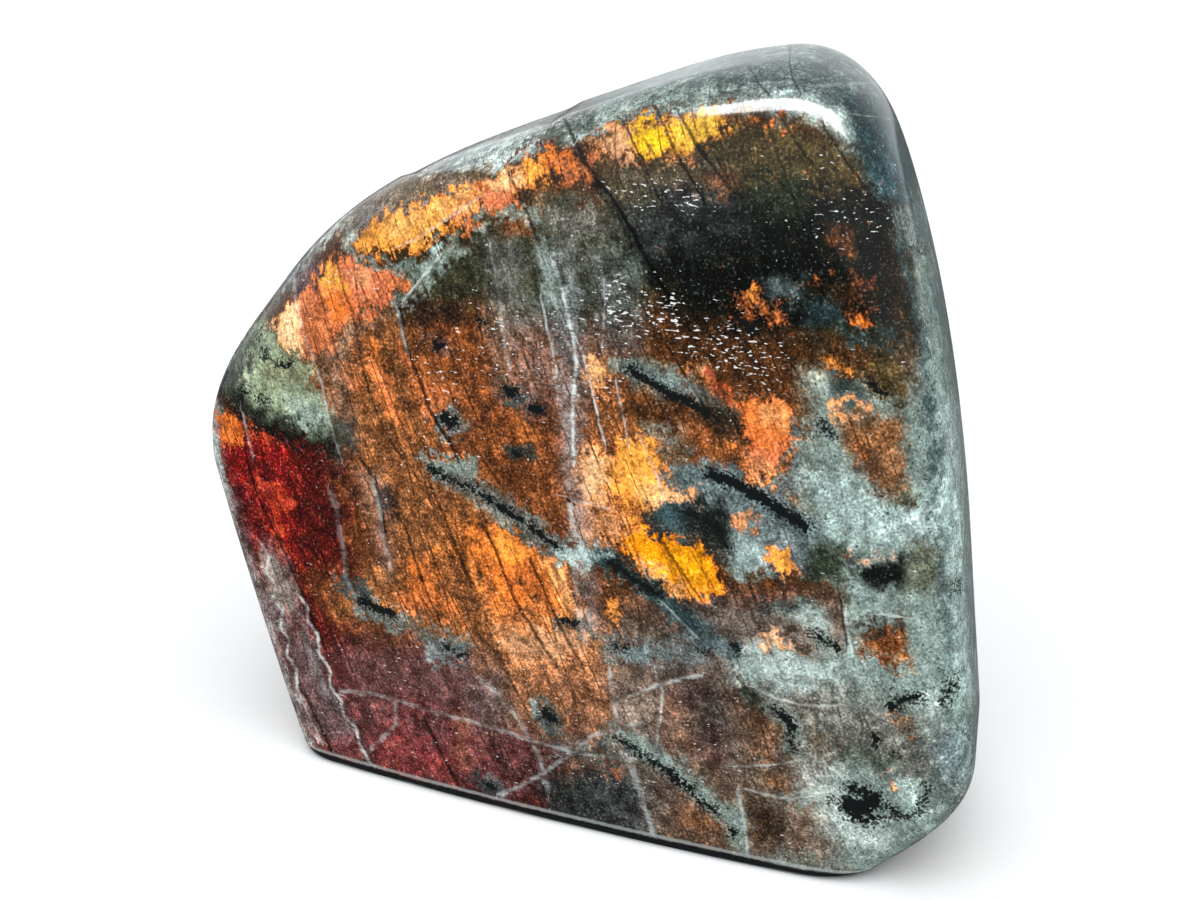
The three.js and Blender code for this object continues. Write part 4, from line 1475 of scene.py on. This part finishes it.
def stoneMaterial():
    material = bpy.data.materials.new("labradorite")
    material.use_nodes = True
    tree = material.node_tree
    shader = tree.nodes["Principled BSDF"]
    marks = gatherMarks(tree)
    colour = groundColour(tree, marks)
    for addLayer in (addFlashes, addBlotches, addMilk, addHairCracks, addSpecks, addCracks, addStrands,
            addBlackGrains, addPaintedGlints, addFootShadeAndHighlight):
        colour = addLayer(tree, colour, marks)
    tree.links.new(colour, shader.inputs["Base Color"])
    polishStone(tree, shader, marks)
    print("stone material made")
    return material


# The pale floor, which the stone's polish sees as dark. Metres from here on.
floorLook = {
    "halfSize": 6,
    "colour": (0.96, 0.97, 0.985, 1),
    "shineColour": (0.06, 0.06, 0.06, 1),
    "roughness": 0.7,
    "shine": 0.2,
}


def makeFloor():
    bm = bmesh.new()
    bmesh.ops.create_grid(bm, x_segments=1, y_segments=1, size=floorLook["halfSize"])
    mesh = bpy.data.meshes.new("floor")
    bm.to_mesh(mesh)
    bm.free()
    floor = bpy.data.objects.new("floor", mesh)
    bpy.context.collection.objects.link(floor)
    material = bpy.data.materials.new("paleFloor")
    material.use_nodes = True
    tree = material.node_tree
    shader = tree.nodes["Principled BSDF"]
    glossy = addNode(tree, "LightPath").outputs["Is Glossy Ray"]
    tree.links.new(blended(tree, glossy, floorLook["colour"], floorLook["shineColour"]),
        shader.inputs["Base Color"])
    shader.inputs["Roughness"].default_value = floorLook["roughness"]
    shader.inputs["Specular IOR Level"].default_value = floorLook["shine"]
    mesh.materials.append(material)


# The sky's strength as the camera, the polish and everything else see it.
sky = {
    "colour": (0.95, 0.985, 1, 1),
    "seen": 1.08,
    "shine": 0.9,
    "glow": 0.52,
}


def makeSky():
    world = bpy.data.worlds.new("studio")
    world.use_nodes = True
    tree = world.node_tree
    rays = addNode(tree, "LightPath")
    strength = addNode(tree, "Mix", {0: rays.outputs["Is Glossy Ray"], 2: sky["glow"], 3: sky["shine"]})
    strength = addNode(tree, "Mix", {0: rays.outputs["Is Camera Ray"], 2: strength.outputs[0],
        3: sky["seen"]})
    tree.nodes["Background"].inputs["Color"].default_value = sky["colour"]
    tree.links.new(strength.outputs[0], tree.nodes["Background"].inputs["Strength"])
    bpy.context.scene.world = world


# The long light above the front that draws the bright line along the top edge.
strip = {
    "place": (0.14, -0.54, 0.97),
    "aim": (0, 0, 0.08),
    "size": (1.5, 0.5),
    "power": 92,
}


def addStrip():
    lamp = bpy.data.lights.new("frontStrip", "AREA")
    lamp.shape = "RECTANGLE"
    lamp.size, lamp.size_y = strip["size"]
    lamp.energy = strip["power"]
    light = bpy.data.objects.new("frontStrip", lamp)
    light.location = strip["place"]
    towards = Vector(strip["aim"]) - Vector(strip["place"])
    light.rotation_euler = towards.to_track_quat("-Z", "Y").to_euler()
    light.visible_diffuse = False
    bpy.context.collection.objects.link(light)


# The sun is as wide as a large soft lamp, and the polish doesn't show it.
wideSun = {
    "from": (0.16, -0.5, 0.85),
    "spread": 60,
    "strength": 2.25,
}


def addSun():
    lamp = bpy.data.lights.new("wideSun", "SUN")
    lamp.energy = wideSun["strength"]
    lamp.angle = math.radians(wideSun["spread"])
    light = bpy.data.objects.new("wideSun", lamp)
    light.rotation_euler = Vector(wideSun["from"]).to_track_quat("Z", "Y").to_euler()
    light.visible_glossy = False
    bpy.context.collection.objects.link(light)


def makeStage():
    makeFloor()
    makeSky()
    addStrip()
    addSun()
    bpy.context.scene.view_settings.view_transform = "Standard"
    print("stage made")


def makeCamera():
    place, back = cameraAxes()[:2]
    lens = bpy.data.cameras.new("camera")
    lens.lens = view["lens"]
    lens.sensor_width = view["sensor"]
    lens.clip_start = view["clipStart"]
    camera = bpy.data.objects.new("camera", lens)
    camera.location = place * mm
    camera.rotation_euler = Vector(-back).to_track_quat("-Z", "Y").to_euler()
    bpy.context.collection.objects.link(camera)
    bpy.context.scene.camera = camera


makeCamera()
makeStage()
stone, stonePoints, stoneNormals = shapeStone()
paintStone(stone.data, stonePoints, stoneNormals)
stone.data.materials.append(stoneMaterial())
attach(stone, "root")
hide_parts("stone")
